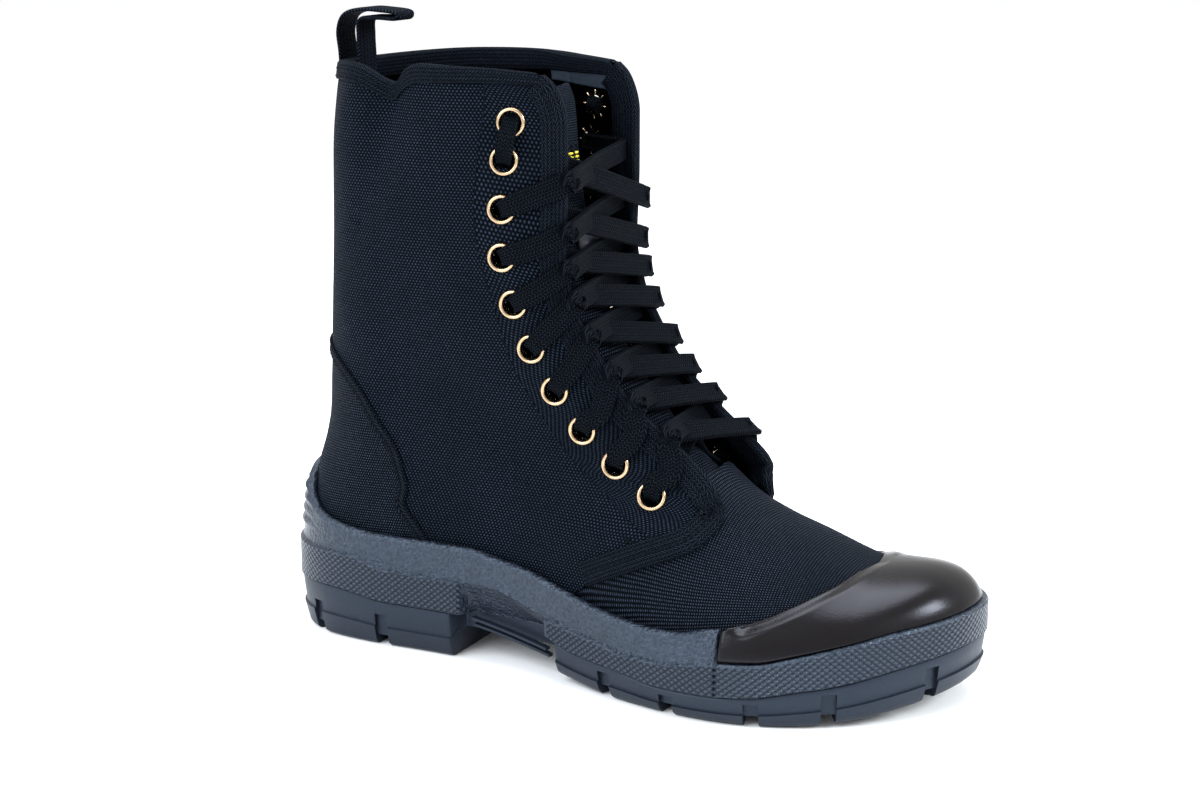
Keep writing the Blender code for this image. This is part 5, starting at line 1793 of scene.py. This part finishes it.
@dataclass
class Laces:
    """One flat braided lace, in two halves from the lowest eyelets to the top pair."""

    canvas: Canvas
    eyelets: Eyelets
    materials: Materials
    width: float = 9.2 * MM
    thick: float = 2.0 * MM
    rise: float = 0.55
    rise_inner: float = -0.05
    bars: int = 8

    def over(self) -> float:
        """Lace's middle above the canvas where it lies on a binding."""
        return TAPE_LIFT + 0.15 * MM + self.thick / 2.0

    def bar(self, low: EyeletPlace, next_up: EyeletPlace, high: EyeletPlace, side: float,
            layer: float) -> list[tuple]:
        """Key places of one bar, out of an eyelet, over its edge and under the opposite one.

        Args:
            low: Eyelet that it comes out of.
            next_up: The next eyelet up on the same side, towards which it climbs.
            high: Eyelet on the other side that it goes to.
            side: Sign of the side that it starts on.
            layer: How far its middle stands before the crossing's plane.

        Returns:
            Points, face directions, and scales across and above.
        """
        last = self.canvas.last
        edge_row = mix(low.edge_row, next_up.edge_row, self.rise if side < 0.0 else self.rise_inner)
        edge, edge_normal = last.frame(edge_row, side * 0.999)[:2]
        far_edge, far_normal = last.frame(mix(high.edge_row, low.edge_row, 0.12), -side * 0.999)[:2]
        toward = (edge - low.centre).normalized()
        away = (high.centre - far_edge).normalized()
        out = (toward - edge_normal * toward.dot(edge_normal)).normalized()
        over = self.over()
        under = CANVAS + 1.4 * MM + self.thick / 2.0
        reach = (edge - low.centre).length
        keys = [
            (low.centre - low.normal * 3.2 * MM + toward * 0.4 * MM, low.normal + toward * -2.0, (0.80, 2.3)),
            (low.centre + low.normal * 0.2 * MM + toward * 1.1 * MM, low.normal - toward * 1.3, (0.76, 1.5)),
            (low.centre + low.normal * (over + 0.5 * MM) + toward * 4.8 * MM, low.normal, (0.92, 1.15)),
        ]
        first = (self.eyelets.radius + 3.5 * MM) / reach
        for share in (first, mix(first, 1.0, 0.5)):
            if share < 0.9:
                point, normal = self.canvas.spot(mix(low.row, edge_row, share),
                                                 mix(low.across, side * 0.999, share), over)
                keys.append((point, normal, (1.0, 1.0)))
        front = edge_normal + far_normal
        front.y = 0.0
        front.normalize()
        bend = edge + out * 4.3 * MM + edge_normal * 0.4 * over
        near_end = far_edge + away * 3.5 * MM - far_normal * under
        end = far_edge + away * 9.0 * MM - far_normal * under
        run = (near_end - bend).normalized()
        looks = (front - run * front.dot(run)).normalized()
        keys += [
            (edge - out * 1.5 * MM + edge_normal * over, edge_normal, (1.0, 1.0)),
            (edge + out * 1.9 * MM + edge_normal * (over - 0.25 * MM), (edge_normal * 2.0 + looks).normalized(),
             (1.0, 1.0)),
            (bend, (edge_normal + looks * 1.6).normalized(), (1.0, 1.05)),
            ((bend + near_end) / 2.0 + front * layer, looks, (1.0, 1.0)),
            (near_end, (looks + far_normal).normalized(), (1.0, 1.0)),
            (end, far_normal, (0.92, 1.0)),
            (high.centre - high.normal * (under + 0.6 * MM) - away * 1.5 * MM, high.normal, (0.78, 1.4)),
        ]
        return keys

    def half(self, start_side: Side) -> list[tuple]:
        """Key places of one half of the lace, from its lowest eyelet up.

        Args:
            start_side: Side of its lowest eyelet.

        Returns:
            Points, face directions, and scales across and above.
        """
        keys = []
        side = start_side
        for number in range(self.bars + 1, 1, -1):
            other = Side.INNER if side is Side.OUTER else Side.OUTER
            low = self.eyelets.places[side][number]
            high = self.eyelets.places[other][number - 1]
            layer = -0.65 if side is Side.OUTER else 0.65
            next_up = self.eyelets.places[side][number - 1]
            keys += self.bar(low, next_up, high, side.value, layer * self.thick)
            side = other
        low, high = self.eyelets.places[side][1], self.eyelets.places[side][0]
        rise = (high.centre - low.centre).normalized()
        lift = self.eyelets.high + 0.4 * MM + self.thick / 2.0
        keys += [
            (low.centre - low.normal * 4.0 * MM, low.normal - rise, (0.74, 1.7)),
            (low.centre + low.normal * 0.4 * MM + rise * 0.6 * MM, low.normal - rise, (0.68, 1.5)),
            (low.centre + low.normal * (lift + 1.0 * MM) + rise * 4.4 * MM, low.normal, (0.80, 1.25)),
            (mix(low.centre, high.centre, 0.5) + low.normal * (lift + 1.6 * MM), low.normal, (0.86, 1.15)),
            (high.centre + high.normal * (lift + 1.0 * MM) - rise * 4.4 * MM, high.normal, (0.80, 1.25)),
            (high.centre + high.normal * 0.4 * MM - rise * 0.6 * MM, high.normal + rise, (0.70, 1.5)),
            (high.centre - high.normal * 2.4 * MM + rise * 0.3 * MM, rise + high.normal * 0.2, (0.80, 3.1)),
            (high.centre - high.normal * 5.0 * MM + rise * 1.0 * MM, rise + high.normal * 0.4, (0.60, 1.3)),
        ]
        return keys

    def build(self) -> None:
        """Make both halves."""
        section = flat_section(self.width, self.thick, edge=1.35, steps=14)
        for side in Side:
            keys = self.half(side)
            points = smooth_line([key[0] for key in keys], 5)
            ups = smooth_line([key[1].normalized() for key in keys], 5)
            sizes = smooth_line([Vector((*key[2], 0.0)) for key in keys], 5)
            mesh_data = ribbon(points, ups, section, [(size.x, size.y) for size in sizes])
            names = [f"lace_crossing_{item}" for item in range(1, self.bars + 1)]
            finish_piece(mesh_data, f"lace_from_{side.word}", self.materials.get("braid"),
                         names + [f"lace_loop_{side.word}"], sharp=80.0)
        self.low_bar(section)

    def low_bar(self, section: Sequence[tuple[float, float]]) -> None:
        """Hidden bar between the two lowest eyelets, behind the flaps.

        Args:
            section: The lace's closed section.
        """
        outer = self.eyelets.places[Side.OUTER][-1]
        inner = self.eyelets.places[Side.INNER][-1]
        middle = Tongue.point(0.23, 0.0, 3.0 * MM)
        keys = [
            outer.centre - outer.normal * 4.5 * MM,
            mix(outer.centre, middle, 0.5) - outer.normal * 4.0 * MM,
            middle,
            mix(inner.centre, middle, 0.5) - inner.normal * 4.0 * MM,
            inner.centre - inner.normal * 4.5 * MM,
        ]
        points = smooth_line(keys, 6)
        up = Vector((0.5, 0.0, 0.85)).normalized()
        ups = [up + Vector((0.0, mix(outer.normal.y, inner.normal.y, share) * 0.6, 0.0))
               for share in even(0.0, 1.0, len(points) - 1)]
        mesh_data = ribbon(points, ups, section)
        finish_piece(mesh_data, "lace_low_bar", self.materials.get("braid"), sharp=80.0)


@dataclass
class Sole:
    """Cup with band, rim and heel ribs; outsole with its slots; toe cap; insole."""

    last: Last
    materials: Materials
    turns: int = 420
    ribs: int = 4
    rib_pitch: float = 4.8 * MM
    rib_first: float = 46.0 * MM
    rib_reach: float = 0.055

    def within(self, turn: float, start: float, end: float, fade: float) -> float:
        """1 between two stations of the sole and 0 outside them, with a fade."""
        place = self.last.station(turn)
        return ease((place - start) / fade + 0.5) * ease((end - place) / fade + 0.5)

    def ring(self) -> list[float]:
        """Turns round the sole, with more at the named stations.

        Returns:
            The turns, in order.
        """
        turns = {round(2.0 * math.pi * number / self.turns, 6) for number in range(self.turns)}
        for place in (HEEL_BREAST, BAND_HEEL_END, BAND_FORE_START, FOREFOOT_START, CAP_SEAM):
            for shift in (-2.4, -1.6, -0.9, -0.45, -0.15, 0.15, 0.45, 0.9, 1.6, 2.4):
                turn = self.last.turn_at((place + shift * MM) / LENGTH)
                turns.update((round(turn, 6), round(self.last.mirror(turn), 6)))
        return sorted(turns)

    @staticmethod
    def at_height(point: Vector, height: float) -> Vector:
        """Copy of a plan point at a height."""
        return Vector((point.x, point.y, height))

    def seam(self, turn: float) -> float:
        """Depth of the moulded seam between rim and toe band."""
        place = self.last.station(turn)
        return 0.9 * MM * math.exp(-((place - CAP_SEAM) / (0.45 * MM)) ** 2)

    def swept(self, tracks: Sequence[Callable[[float], Vector]], turns: Sequence[float]) -> bmesh.types.BMesh:
        """Closed solid swept round the sole, its first and last ring drawn in to the middle line.

        Args:
            tracks: Point of each line of the section for a turn.
            turns: The turns.

        Returns:
            The closed solid.
        """
        rows = []
        for track in tracks:
            rows.append([track(turn) for turn in turns])
        count = len(turns)

        def drawn(ring: Sequence[Vector], share: float) -> list[Vector]:
            """A ring drawn in to the middle line.

            Args:
                ring: The ring.
                share: How far, from 0 to 1.

            Returns:
                The drawn ring.
            """
            made = []
            for number in range(count):
                mirrored = ring[(count - number) % count]
                middle = (ring[number] + mirrored) / 2.0
                made.append(mix(ring[number], middle, share))
            return made

        rows = [drawn(rows[0], share) for share in (1.0, 0.66, 0.33)] + rows
        rows += [drawn(rows[-1], share) for share in (0.33, 0.66, 1.0)]
        travelled = [0.0]
        for number in range(1, count + 1):
            step = self.last.outline(turns[number % count]) - self.last.outline(turns[number - 1])
            travelled.append(travelled[-1] + step.length)
        made = patch(count, len(rows) - 1, lambda column, row: rows[row][column % count],
                     lambda column, row: (travelled[column], rows[row][column % count].z))
        close(made)
        return made

    def cup_tracks(self) -> list[Callable[[float], Vector]]:
        """The midsole's section from its underside, out round the band and rim, to the cup's floor.

        Returns:
            Point of each line of the section for a turn.
        """
        last = self.last

        def recess(turn: float) -> float:
            """1 along the arch and 0 elsewhere, with a fade."""
            return self.within(turn, BAND_HEEL_END, BAND_FORE_START, 5.0 * MM)

        def front(turn: float) -> float:
            """1 in front of the cap's seam and 0 behind it."""
            return ease((last.station(turn) - CAP_SEAM) / MM + 0.5)

        def joint(point: Vector, above: float) -> Vector:
            """Point moved to a height above the joint with the outsole."""
            return self.at_height(point, BAND_LOW.at(point.x / LENGTH) * RIM_HEIGHT + above)

        def under(turn: float) -> Vector:
            """Outer edge of the underside."""
            out = mix(BAND_OUT - 0.7 * MM, -ARCH_INSET, recess(turn))
            return joint(last.offset(turn, out), 0.3 * MM)

        def band_foot(turn: float) -> Vector:
            """Lower edge of the band."""
            out = mix(BAND_OUT, -ARCH_INSET, recess(turn)) - self.seam(turn)
            return joint(last.offset(turn, out), 0.9 * MM)

        def band(share: float) -> Callable[[float], Vector]:
            """A line along the band's face.

            Args:
                share: How far from the lower end to the upper one.

            Returns:
                The line.
            """
            def track(turn: float) -> Vector:
                """Point of the line.

                Args:
                    turn: Angle round the sole.

                Returns:
                    The point.
                """
                low = band_foot(turn).z
                out = mix(BAND_OUT, mix(-ARCH_INSET, -0.35 * ARCH_INSET, share), recess(turn)) - self.seam(turn)
                high = last.height(BAND_TOP, turn) - mix(0.9 * MM, 4.5 * MM, recess(turn))
                return self.at_height(last.offset(turn, out), mix(low, high, share))
            return track

        def band_crest(turn: float) -> Vector:
            """Rounded upper edge of the band.

            Args:
                turn: Angle round the sole.

            Returns:
                The point.
            """
            out = mix(BAND_OUT - 0.5 * MM, -0.30 * ARCH_INSET, recess(turn)) - self.seam(turn)
            high = last.height(BAND_TOP, turn) - mix(0.35 * MM, 4.0 * MM, recess(turn))
            return self.at_height(last.offset(turn, out), high)

        def ledge(turn: float) -> Vector:
            """Ledge between band and rim."""
            out = mix(0.35 * MM, 0.8 * MM, front(turn)) - self.seam(turn)
            return self.at_height(last.offset(turn, out), last.height(BAND_TOP, turn))

        def wall(share: float) -> Callable[[float], Vector]:
            """A line along the rim's outer face, with the heel ribs.

            Args:
                share: How far from the lower end to the upper one.

            Returns:
                The line.
            """
            def track(turn: float) -> Vector:
                """Point of the line.

                Args:
                    turn: Angle round the sole.

                Returns:
                    The point.
                """
                rim = last.height(RIM, turn)
                top = last.height(BAND_TOP, turn)
                low = last.offset(turn, 0.0)
                low.z = top + 0.3 * MM
                high = last.point(turn, rim) + last.outward(turn) * 0.88 * RIM_WALL
                high.z = rim - 2.0 * MM
                point = mix(low, high, share)
                reach = 1.0 - ease((last.along_at(turn) - self.rib_reach * 0.55) / (self.rib_reach * 0.6))
                number = (point.z - self.rib_first) / self.rib_pitch
                if reach > 0.0 and -0.5 < number < self.ribs - 0.3:
                    crest = 0.5 + 0.5 * math.cos(2.0 * math.pi * number)
                    point += last.outward(turn) * 1.25 * MM * reach * crest ** 0.7
                point -= last.outward(turn) * self.seam(turn)
                lowered = last.offset(turn, 0.0) if front(turn) > 0.0 else point
                return mix(point, self.at_height(lowered, top + 0.02 * MM * share), front(turn))
            return track

        def crown(out: float, drop: float) -> Callable[[float], Vector]:
            """A line over the rim's rounded top.

            Args:
                out: Place across the rim's wall, from 0 to 1.
                drop: Millimetres below the top.

            Returns:
                The line.
            """
            def track(turn: float) -> Vector:
                """Point of the line.

                Args:
                    turn: Angle round the sole.

                Returns:
                    The point.
                """
                rim = last.height(RIM, turn)
                top = last.height(BAND_TOP, turn)
                height = mix(rim - drop * MM, top + 0.03 * MM, front(turn))
                return self.at_height(last.point(turn, height) + last.outward(turn) * out * RIM_WALL, height)
            return track

        def inner(share: float) -> Callable[[float], Vector]:
            """A line along the cup's inner face.

            Args:
                share: How far from the lower end to the upper one.

            Returns:
                The line.
            """
            def track(turn: float) -> Vector:
                """Point of the line.

                Args:
                    turn: Angle round the sole.

                Returns:
                    The point.
                """
                rim = mix(last.height(RIM, turn) - 1.0 * MM, last.height(BAND_TOP, turn), front(turn))
                height = mix(last.height(FLOOR, turn) - 0.3 * MM, rim, share)
                gap = mix(0.45 * MM, 0.7 * MM - VAMP_INSET,
                          ease((last.station(turn) - 160.0 * MM) / (4.0 * MM)))
                return last.point(turn, height) + last.outward(turn) * gap
            return track

        walls = [wall(share) for share in even(0.0, 1.0, 34)]
        crowns = ((0.80, 1.0), (0.64, 0.3), (0.45, 0.0), (0.28, 0.25), (0.16, 0.7))
        return ([under, band_foot] + [band(share) for share in (0.12, 0.5, 0.88, 1.0)] + [band_crest, ledge]
                + walls + [crown(out, drop) for out, drop in crowns]
                + [inner(share) for share in (1.0, 0.5, 0.0)])

    def cup(self) -> None:
        """Midsole: rim of pebbled rubber over a knurled band."""
        mesh_data = self.swept(self.cup_tracks(), self.ring())
        for face in mesh_data.faces:
            centre = face.calc_center_median()
            along = centre.x / LENGTH
            top = BAND_TOP.at(along) * RIM_HEIGHT
            low = BAND_LOW.at(along) * RIM_HEIGHT
            arch = BAND_HEEL_END - 1.0 * MM < centre.x < BAND_FORE_START + 3.0 * MM
            if abs(face.normal.z) < 0.6 and low + 0.9 * MM < centre.z < top - 0.9 * MM and not arch:
                face.material_index = 1
        finish_piece(mesh_data, "cup", self.materials.get("rubber", "knurl"),
                     ["midsole"], sharp=38.0)

    def bottom(self, turn: float) -> float:
        """Height of the tread: flat heel and ball, raised arch, toe spring.

        Args:
            turn: Angle round the sole.

        Returns:
            The height.
        """
        place = self.last.along_at(turn)
        arch = self.within(turn, HEEL_BREAST, FOREFOOT_START, 3.0 * MM)
        spring = TOE_SPRING * max(0.0, (place - BALL_END) / (1.0 - BALL_END)) ** 1.8
        lift = 4.0 * MM * max(0.0, (BALL_START - place) / 0.14) ** 2
        ramp = lift if place * LENGTH > FOREFOOT_START - 3.0 * MM else 0.0
        return ARCH_RISE * arch + spring + min(ramp, 4.5 * MM) * (1.0 - arch)

    def outsole_tracks(self) -> list[Callable[[float], Vector]]:
        """The outsole's section from the tread, round its side with a step, to the joint.

        Returns:
            Point of each line of the section for a turn.
        """
        last = self.last

        def track(out: float, share: float, rise: float = 0.0) -> Callable[[float], Vector]:
            """A line along the outsole's side.

            Args:
                out: Place beside the outline in millimetres.
                share: From 0 at the tread to 1 at the joint.
                rise: Millimetres above that.

            Returns:
                The line.
            """
            def place(turn: float) -> Vector:
                """Point of the line.

                Args:
                    turn: Angle round the sole.

                Returns:
                    The point.
                """
                recess = self.within(turn, HEEL_BREAST, FOREFOOT_START, 4.0 * MM)
                point = last.offset(turn, mix(out * MM, -ARCH_INSET - 1.0 * MM, recess))
                base = self.bottom(turn)
                joint = BAND_LOW.at(point.x / LENGTH) * RIM_HEIGHT
                return self.at_height(point, mix(base, joint, share) + rise * MM)
            return place

        return [track(-4.6, 0.0), track(-3.6, 0.0, 0.05), track(-2.6, 0.0, 0.4), track(-1.6, 0.0, 1.3),
                track(-0.8, 0.2), track(0.25, 0.40), track(0.4, 0.43), track(-0.5, 0.455), track(-0.5, 0.48),
                track(0.2, 0.72), track(0.6, 0.93), track(0.3, 0.99), track(0.0, 1.0)]

    def cutters(self) -> bmesh.types.BMesh:
        """Bars that cut the slots and the grooves across the tread.

        Returns:
            The bars.
        """
        mesh_data = bmesh.new()
        for along, reach in SLOTS:
            turn = self.last.turn_at(along)
            for station in (turn, self.last.mirror(turn)):
                base = self.bottom(station)
                joint = self.last.height(BAND_LOW, station)
                outside = self.last.offset(station, 4.0 * MM)
                shallow = self.last.offset(station, -2.0 * MM)
                deep = self.last.offset(station, -reach * MM)
                high = min(base + SLOT_HEIGHT, joint - 2.5 * MM)
                for start, end, top in ((outside, shallow, high), (mix(outside, shallow, 0.03), deep,
                                                                   base + TREAD_DEPTH)):
                    self.box(mesh_data, start, end, SLOT_WIDTH, base - 6.0 * MM, top)
        for along, half in GROOVES:
            middle = LENGTH * along
            base = self.bottom(self.last.turn_at(along))
            shift = 7.0 * MM if along > 0.5 else 0.0
            self.box(mesh_data, Vector((middle - 5.0 * MM, -half * MM * 0.55 + shift, 0.0)),
                     Vector((middle + 5.0 * MM, shift, 0.0)), 4.0 * MM, base - 6.0 * MM, base + 3.0 * MM)
            self.box(mesh_data, Vector((middle + 4.8 * MM, shift - 0.4 * MM, 0.0)),
                     Vector((middle - 5.2 * MM, half * MM * 0.55 + shift, 0.0)), 4.0 * MM, base - 6.1 * MM,
                     base + 2.9 * MM)
        return mesh_data

    @staticmethod
    def box(mesh_data: bmesh.types.BMesh, start: Vector, end: Vector, width: float, bottom: float,
            top: float) -> None:
        """Add a straight bar from start to end in plan.

        Args:
            mesh_data: The mesh that gets it.
            start: Middle of one end.
            end: Middle of the other end.
            width: Its width.
            bottom: Lower height.
            top: Upper height.
        """
        run = end - start
        run.z = 0.0
        middle = (start + end) / 2.0
        middle.z = (bottom + top) / 2.0
        turn = Matrix.Rotation(math.atan2(run.y, run.x), 4, "Z")
        size = Matrix.Diagonal((run.length, width, top - bottom, 1.0))
        bmesh.ops.create_cube(mesh_data, size=1.0, matrix=Matrix.Translation(middle) @ turn @ size)

    def outsole(self) -> None:
        """Heel block, shank and forefoot block, with their slots, grooves, lugs and ridges."""
        mesh_data = self.swept(self.outsole_tracks(), self.ring())
        body = finish_piece(mesh_data, "outsole_block", self.materials.get("tread"), ["outsole"],
                            sharp=30.0)
        self.carve(body)
        self.shank_lugs()

    def carve(self, body: bpy.types.Object) -> None:
        """Cut the slots and grooves out of the outsole.

        Args:
            body: The outsole.
        """
        cutter_data = self.cutters()
        bmesh.ops.translate(cutter_data, verts=cutter_data.verts, vec=(-HEEL_CENTRE, 0.0, 0.0))
        mesh = bpy.data.meshes.new("slots")
        cutter_data.to_mesh(mesh)
        cutter_data.free()
        tool = bpy.data.objects.new("slots", mesh)
        bpy.context.collection.objects.link(tool)
        cut = body.modifiers.new("slots", "BOOLEAN")
        cut.object = tool
        cut.operation = "DIFFERENCE"
        cut.solver = "EXACT"
        cut.use_self = True
        shown = body.evaluated_get(bpy.context.evaluated_depsgraph_get())
        carved = bpy.data.meshes.new_from_object(shown)
        body.modifiers.remove(cut)
        body.data = carved
        carved.shade_smooth()
        carved.set_sharp_from_angle(angle=math.radians(30.0))
        bpy.data.objects.remove(tool)

    def shank_lugs(self) -> None:
        """Bars under the arch and the two ridges along each of its sides."""
        lugs = bmesh.new()
        for place in SHANK_LUGS:
            self.box(lugs, Vector((LENGTH * place, -16.0 * MM, 0.0)), Vector((LENGTH * place, 16.0 * MM, 0.0)),
                     6.0 * MM, ARCH_RISE - 5.0 * MM, ARCH_RISE + 2.0 * MM)
        bmesh.ops.bevel(lugs, geom=lugs.edges[:], offset=0.8 * MM, segments=2, profile=0.5, affect="EDGES",
                        material=-1)
        for height, inset in RIDGES:
            for side in Side:
                points = []
                ups = []
                for along in even(RIDGE_START, RIDGE_START + RIDGE_SPAN, 24):
                    turn = self.last.turn_at(along)
                    turn = self.last.mirror(turn) if side is Side.INNER else turn
                    drop = RIDGE_DROP * (along - RIDGE_START) / RIDGE_SPAN
                    points.append(self.at_height(self.last.offset(turn, inset * MM), height * MM - drop))
                    ups.append(self.last.outward(turn))
                bar = ribbon(points, ups, flat_section(1.6 * MM, 2.6 * MM, steps=6))
                mesh = bpy.data.meshes.new("ridge")
                bar.to_mesh(mesh)
                bar.free()
                lugs.from_mesh(mesh)
        finish_piece(lugs, "shank_lugs", self.materials.get("tread"), sharp=35.0)

    def toe_cap(self) -> None:
        """Glossy bumper over the toe, thin at its upper edge."""
        last = self.last
        columns, rows = 200, 76
        inside = 0.5 * MM - VAMP_INSET

        def place(column: int, row: int) -> Vector:
            """Point of the cap before its thickness.

            Args:
                column: Column of the sheet.
                row: Row of the sheet.

            Returns:
                The point.
            """
            climb = row / rows
            climb = 1.0 - (1.0 - climb) ** 1.25
            station = mix(CAP_SEAM + 0.8 * MM, CAP_CREST, CAP_EDGE_CURVE.at(climb))
            start = last.turn_at(station / LENGTH)
            turn = mix(start, last.mirror(start), column / columns)
            base = last.height(FLOOR, turn)
            peak = last.spine(turn).z
            sunk = 1.5 * MM * ease((last.along_at(turn) - 0.75) / 0.2)
            low = (last.height(BAND_TOP, turn) + 0.1 * MM - sunk - base) / (peak - base)
            first = math.asin(min(low, 1.0)) / (math.pi / 2.0)
            return last.vamp(turn, mix(first, 1.0, climb))

        mesh_data = patch(columns, rows, place, plain_chart)
        face_away(mesh_data, Vector((240.0 * MM, 0.0, 20.0 * MM)))
        bmesh.ops.remove_doubles(mesh_data, verts=mesh_data.verts, dist=0.05 * MM)
        mesh_data.normal_update()
        edge = [place(column, row) for column in (0, columns) for row in range(rows // 6, rows + 1)]

        def lift(point: Vector) -> float:
            """Height of the cap's face above the canvas.

            Args:
                point: The point.

            Returns:
                The distance.
            """
            near = min((point - other).length for other in edge)
            thin = mix(0.25, 1.0, ease(near / (5.0 * MM)))
            full = 2.6 * ease((54.0 * MM - point.z) / (22.0 * MM))
            front = math.exp(-((point.x - 281.0 * MM) / (13.0 * MM)) ** 2)
            front *= 2.2 * ease((point.z / MM - 34.0) / 12.0)
            above = point.z - BAND_TOP.at(point.x / LENGTH) * RIM_HEIGHT
            flush = 1.4 * ease(1.0 - above / (16.0 * MM))
            return inside + (2.0 + full + front + flush) * thin * MM

        lift_by(mesh_data, lift)
        crest = place(0, rows)
        near = [vert for vert in mesh_data.verts if (vert.co - crest).length < 13.0 * MM]
        for _ in range(10):
            bmesh.ops.smooth_vert(mesh_data, verts=near, factor=0.5, use_axis_x=True, use_axis_y=True,
                                  use_axis_z=True)
        finish_piece(mesh_data, "toe_bumper", self.materials.get("cap"), ["toe_cap"], wall=1.6 * MM,
                     sharp=60.0)

    def insole(self) -> None:
        """Footbed inside the cup."""
        inset = RIM_WALL + VAMP_INSET + VAMP_WALL + 0.8 * MM
        turns = self.ring()

        def track(height: float, more: float) -> Callable[[float], Vector]:
            """A line round the footbed."""
            return lambda turn: self.at_height(self.last.offset(turn, -inset - more * MM),
                                               self.last.height(FLOOR, turn) + height * MM)

        mesh_data = self.swept([track(0.0, 0.0), track(2.2, 0.0), track(3.0, 1.2)], turns)
        finish_piece(mesh_data, "footbed", self.materials.get("foam"), ["insole"])

    def build(self) -> None:
        """Make every piece of the sole."""
        self.cup()
        self.outsole()
        self.toe_cap()
        self.insole()


@dataclass
class Studio:
    """Floor, lights and camera."""

    materials: Materials
    eye: tuple = (0.4976, -0.7920, 0.3184)
    aim: tuple = (0.0993, 0.0, 0.1063)
    lens: float = 67.5

    def light(self, name: str, place: tuple, size: float, power: float, colour: tuple) -> None:
        """Add one soft area light that faces the boot.

        Args:
            name: The light's name.
            place: Where it stands.
            size: Its side.
            power: Watts.
            colour: Its colour.
        """
        data = bpy.data.lights.new(name, "AREA")
        data.size = size
        data.energy = power
        data.color = colour
        made = bpy.data.objects.new(name, data)
        made.location = place
        made.rotation_euler = (Vector((0.08, 0.0, 0.10)) - Vector(place)).to_track_quat("-Z", "Y").to_euler()
        bpy.context.collection.objects.link(made)

    def build(self) -> None:
        """Make the studio."""
        mesh_data = bmesh.new()
        bmesh.ops.create_grid(mesh_data, x_segments=1, y_segments=1, size=6.0)
        mesh = bpy.data.meshes.new("studio_floor")
        mesh_data.to_mesh(mesh)
        mesh_data.free()
        mesh.materials.append(self.materials.get("floor")[0])
        ground = bpy.data.objects.new("studio_floor", mesh)
        bpy.context.collection.objects.link(ground)
        self.light("key", (-0.55, -1.15, 1.00), 1.3, 30.0, (0.86, 0.93, 1.0))
        self.light("front", (1.30, 0.10, 0.75), 0.45, 18.0, (0.90, 0.96, 1.0))
        self.light("top", (0.05, 0.25, 1.40), 1.0, 22.0, (0.88, 0.93, 1.0))
        world = bpy.data.worlds.new("studio")
        world.use_nodes = True
        world.node_tree.nodes["Background"].inputs[0].default_value = (1.0, 1.0, 1.0, 1.0)
        world.node_tree.nodes["Background"].inputs[1].default_value = 1.0
        bpy.context.scene.world = world
        data = bpy.data.cameras.new("camera")
        data.lens = self.lens
        data.sensor_width = 36.0
        camera = bpy.data.objects.new("camera", data)
        camera.location = self.eye
        camera.rotation_euler = (Vector(self.aim) - Vector(self.eye)).to_track_quat("-Z", "Y").to_euler()
        bpy.context.collection.objects.link(camera)
        bpy.context.scene.camera = camera
        bpy.context.scene.view_settings.view_transform = "Standard"


def clear_start() -> None:
    """Remove what Blender starts with."""
    for item in list(bpy.data.objects):
        bpy.data.objects.remove(item)


def main() -> None:
    """Build the boot's looks in order."""
    logging.basicConfig(level=logging.INFO, format="%(name)s %(message)s")
    clear_start()
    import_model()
    materials = Materials()
    Studio(materials).build()
    last = Last()
    canvas = Canvas(last)
    eyelets = Eyelets(last, materials)
    eyelets.build()
    Upper(canvas, eyelets, materials).build()
    Tongue(materials).build()
    Laces(canvas, eyelets, materials).build()
    Sole(last, materials).build()


if __name__ == "__main__":
    main()
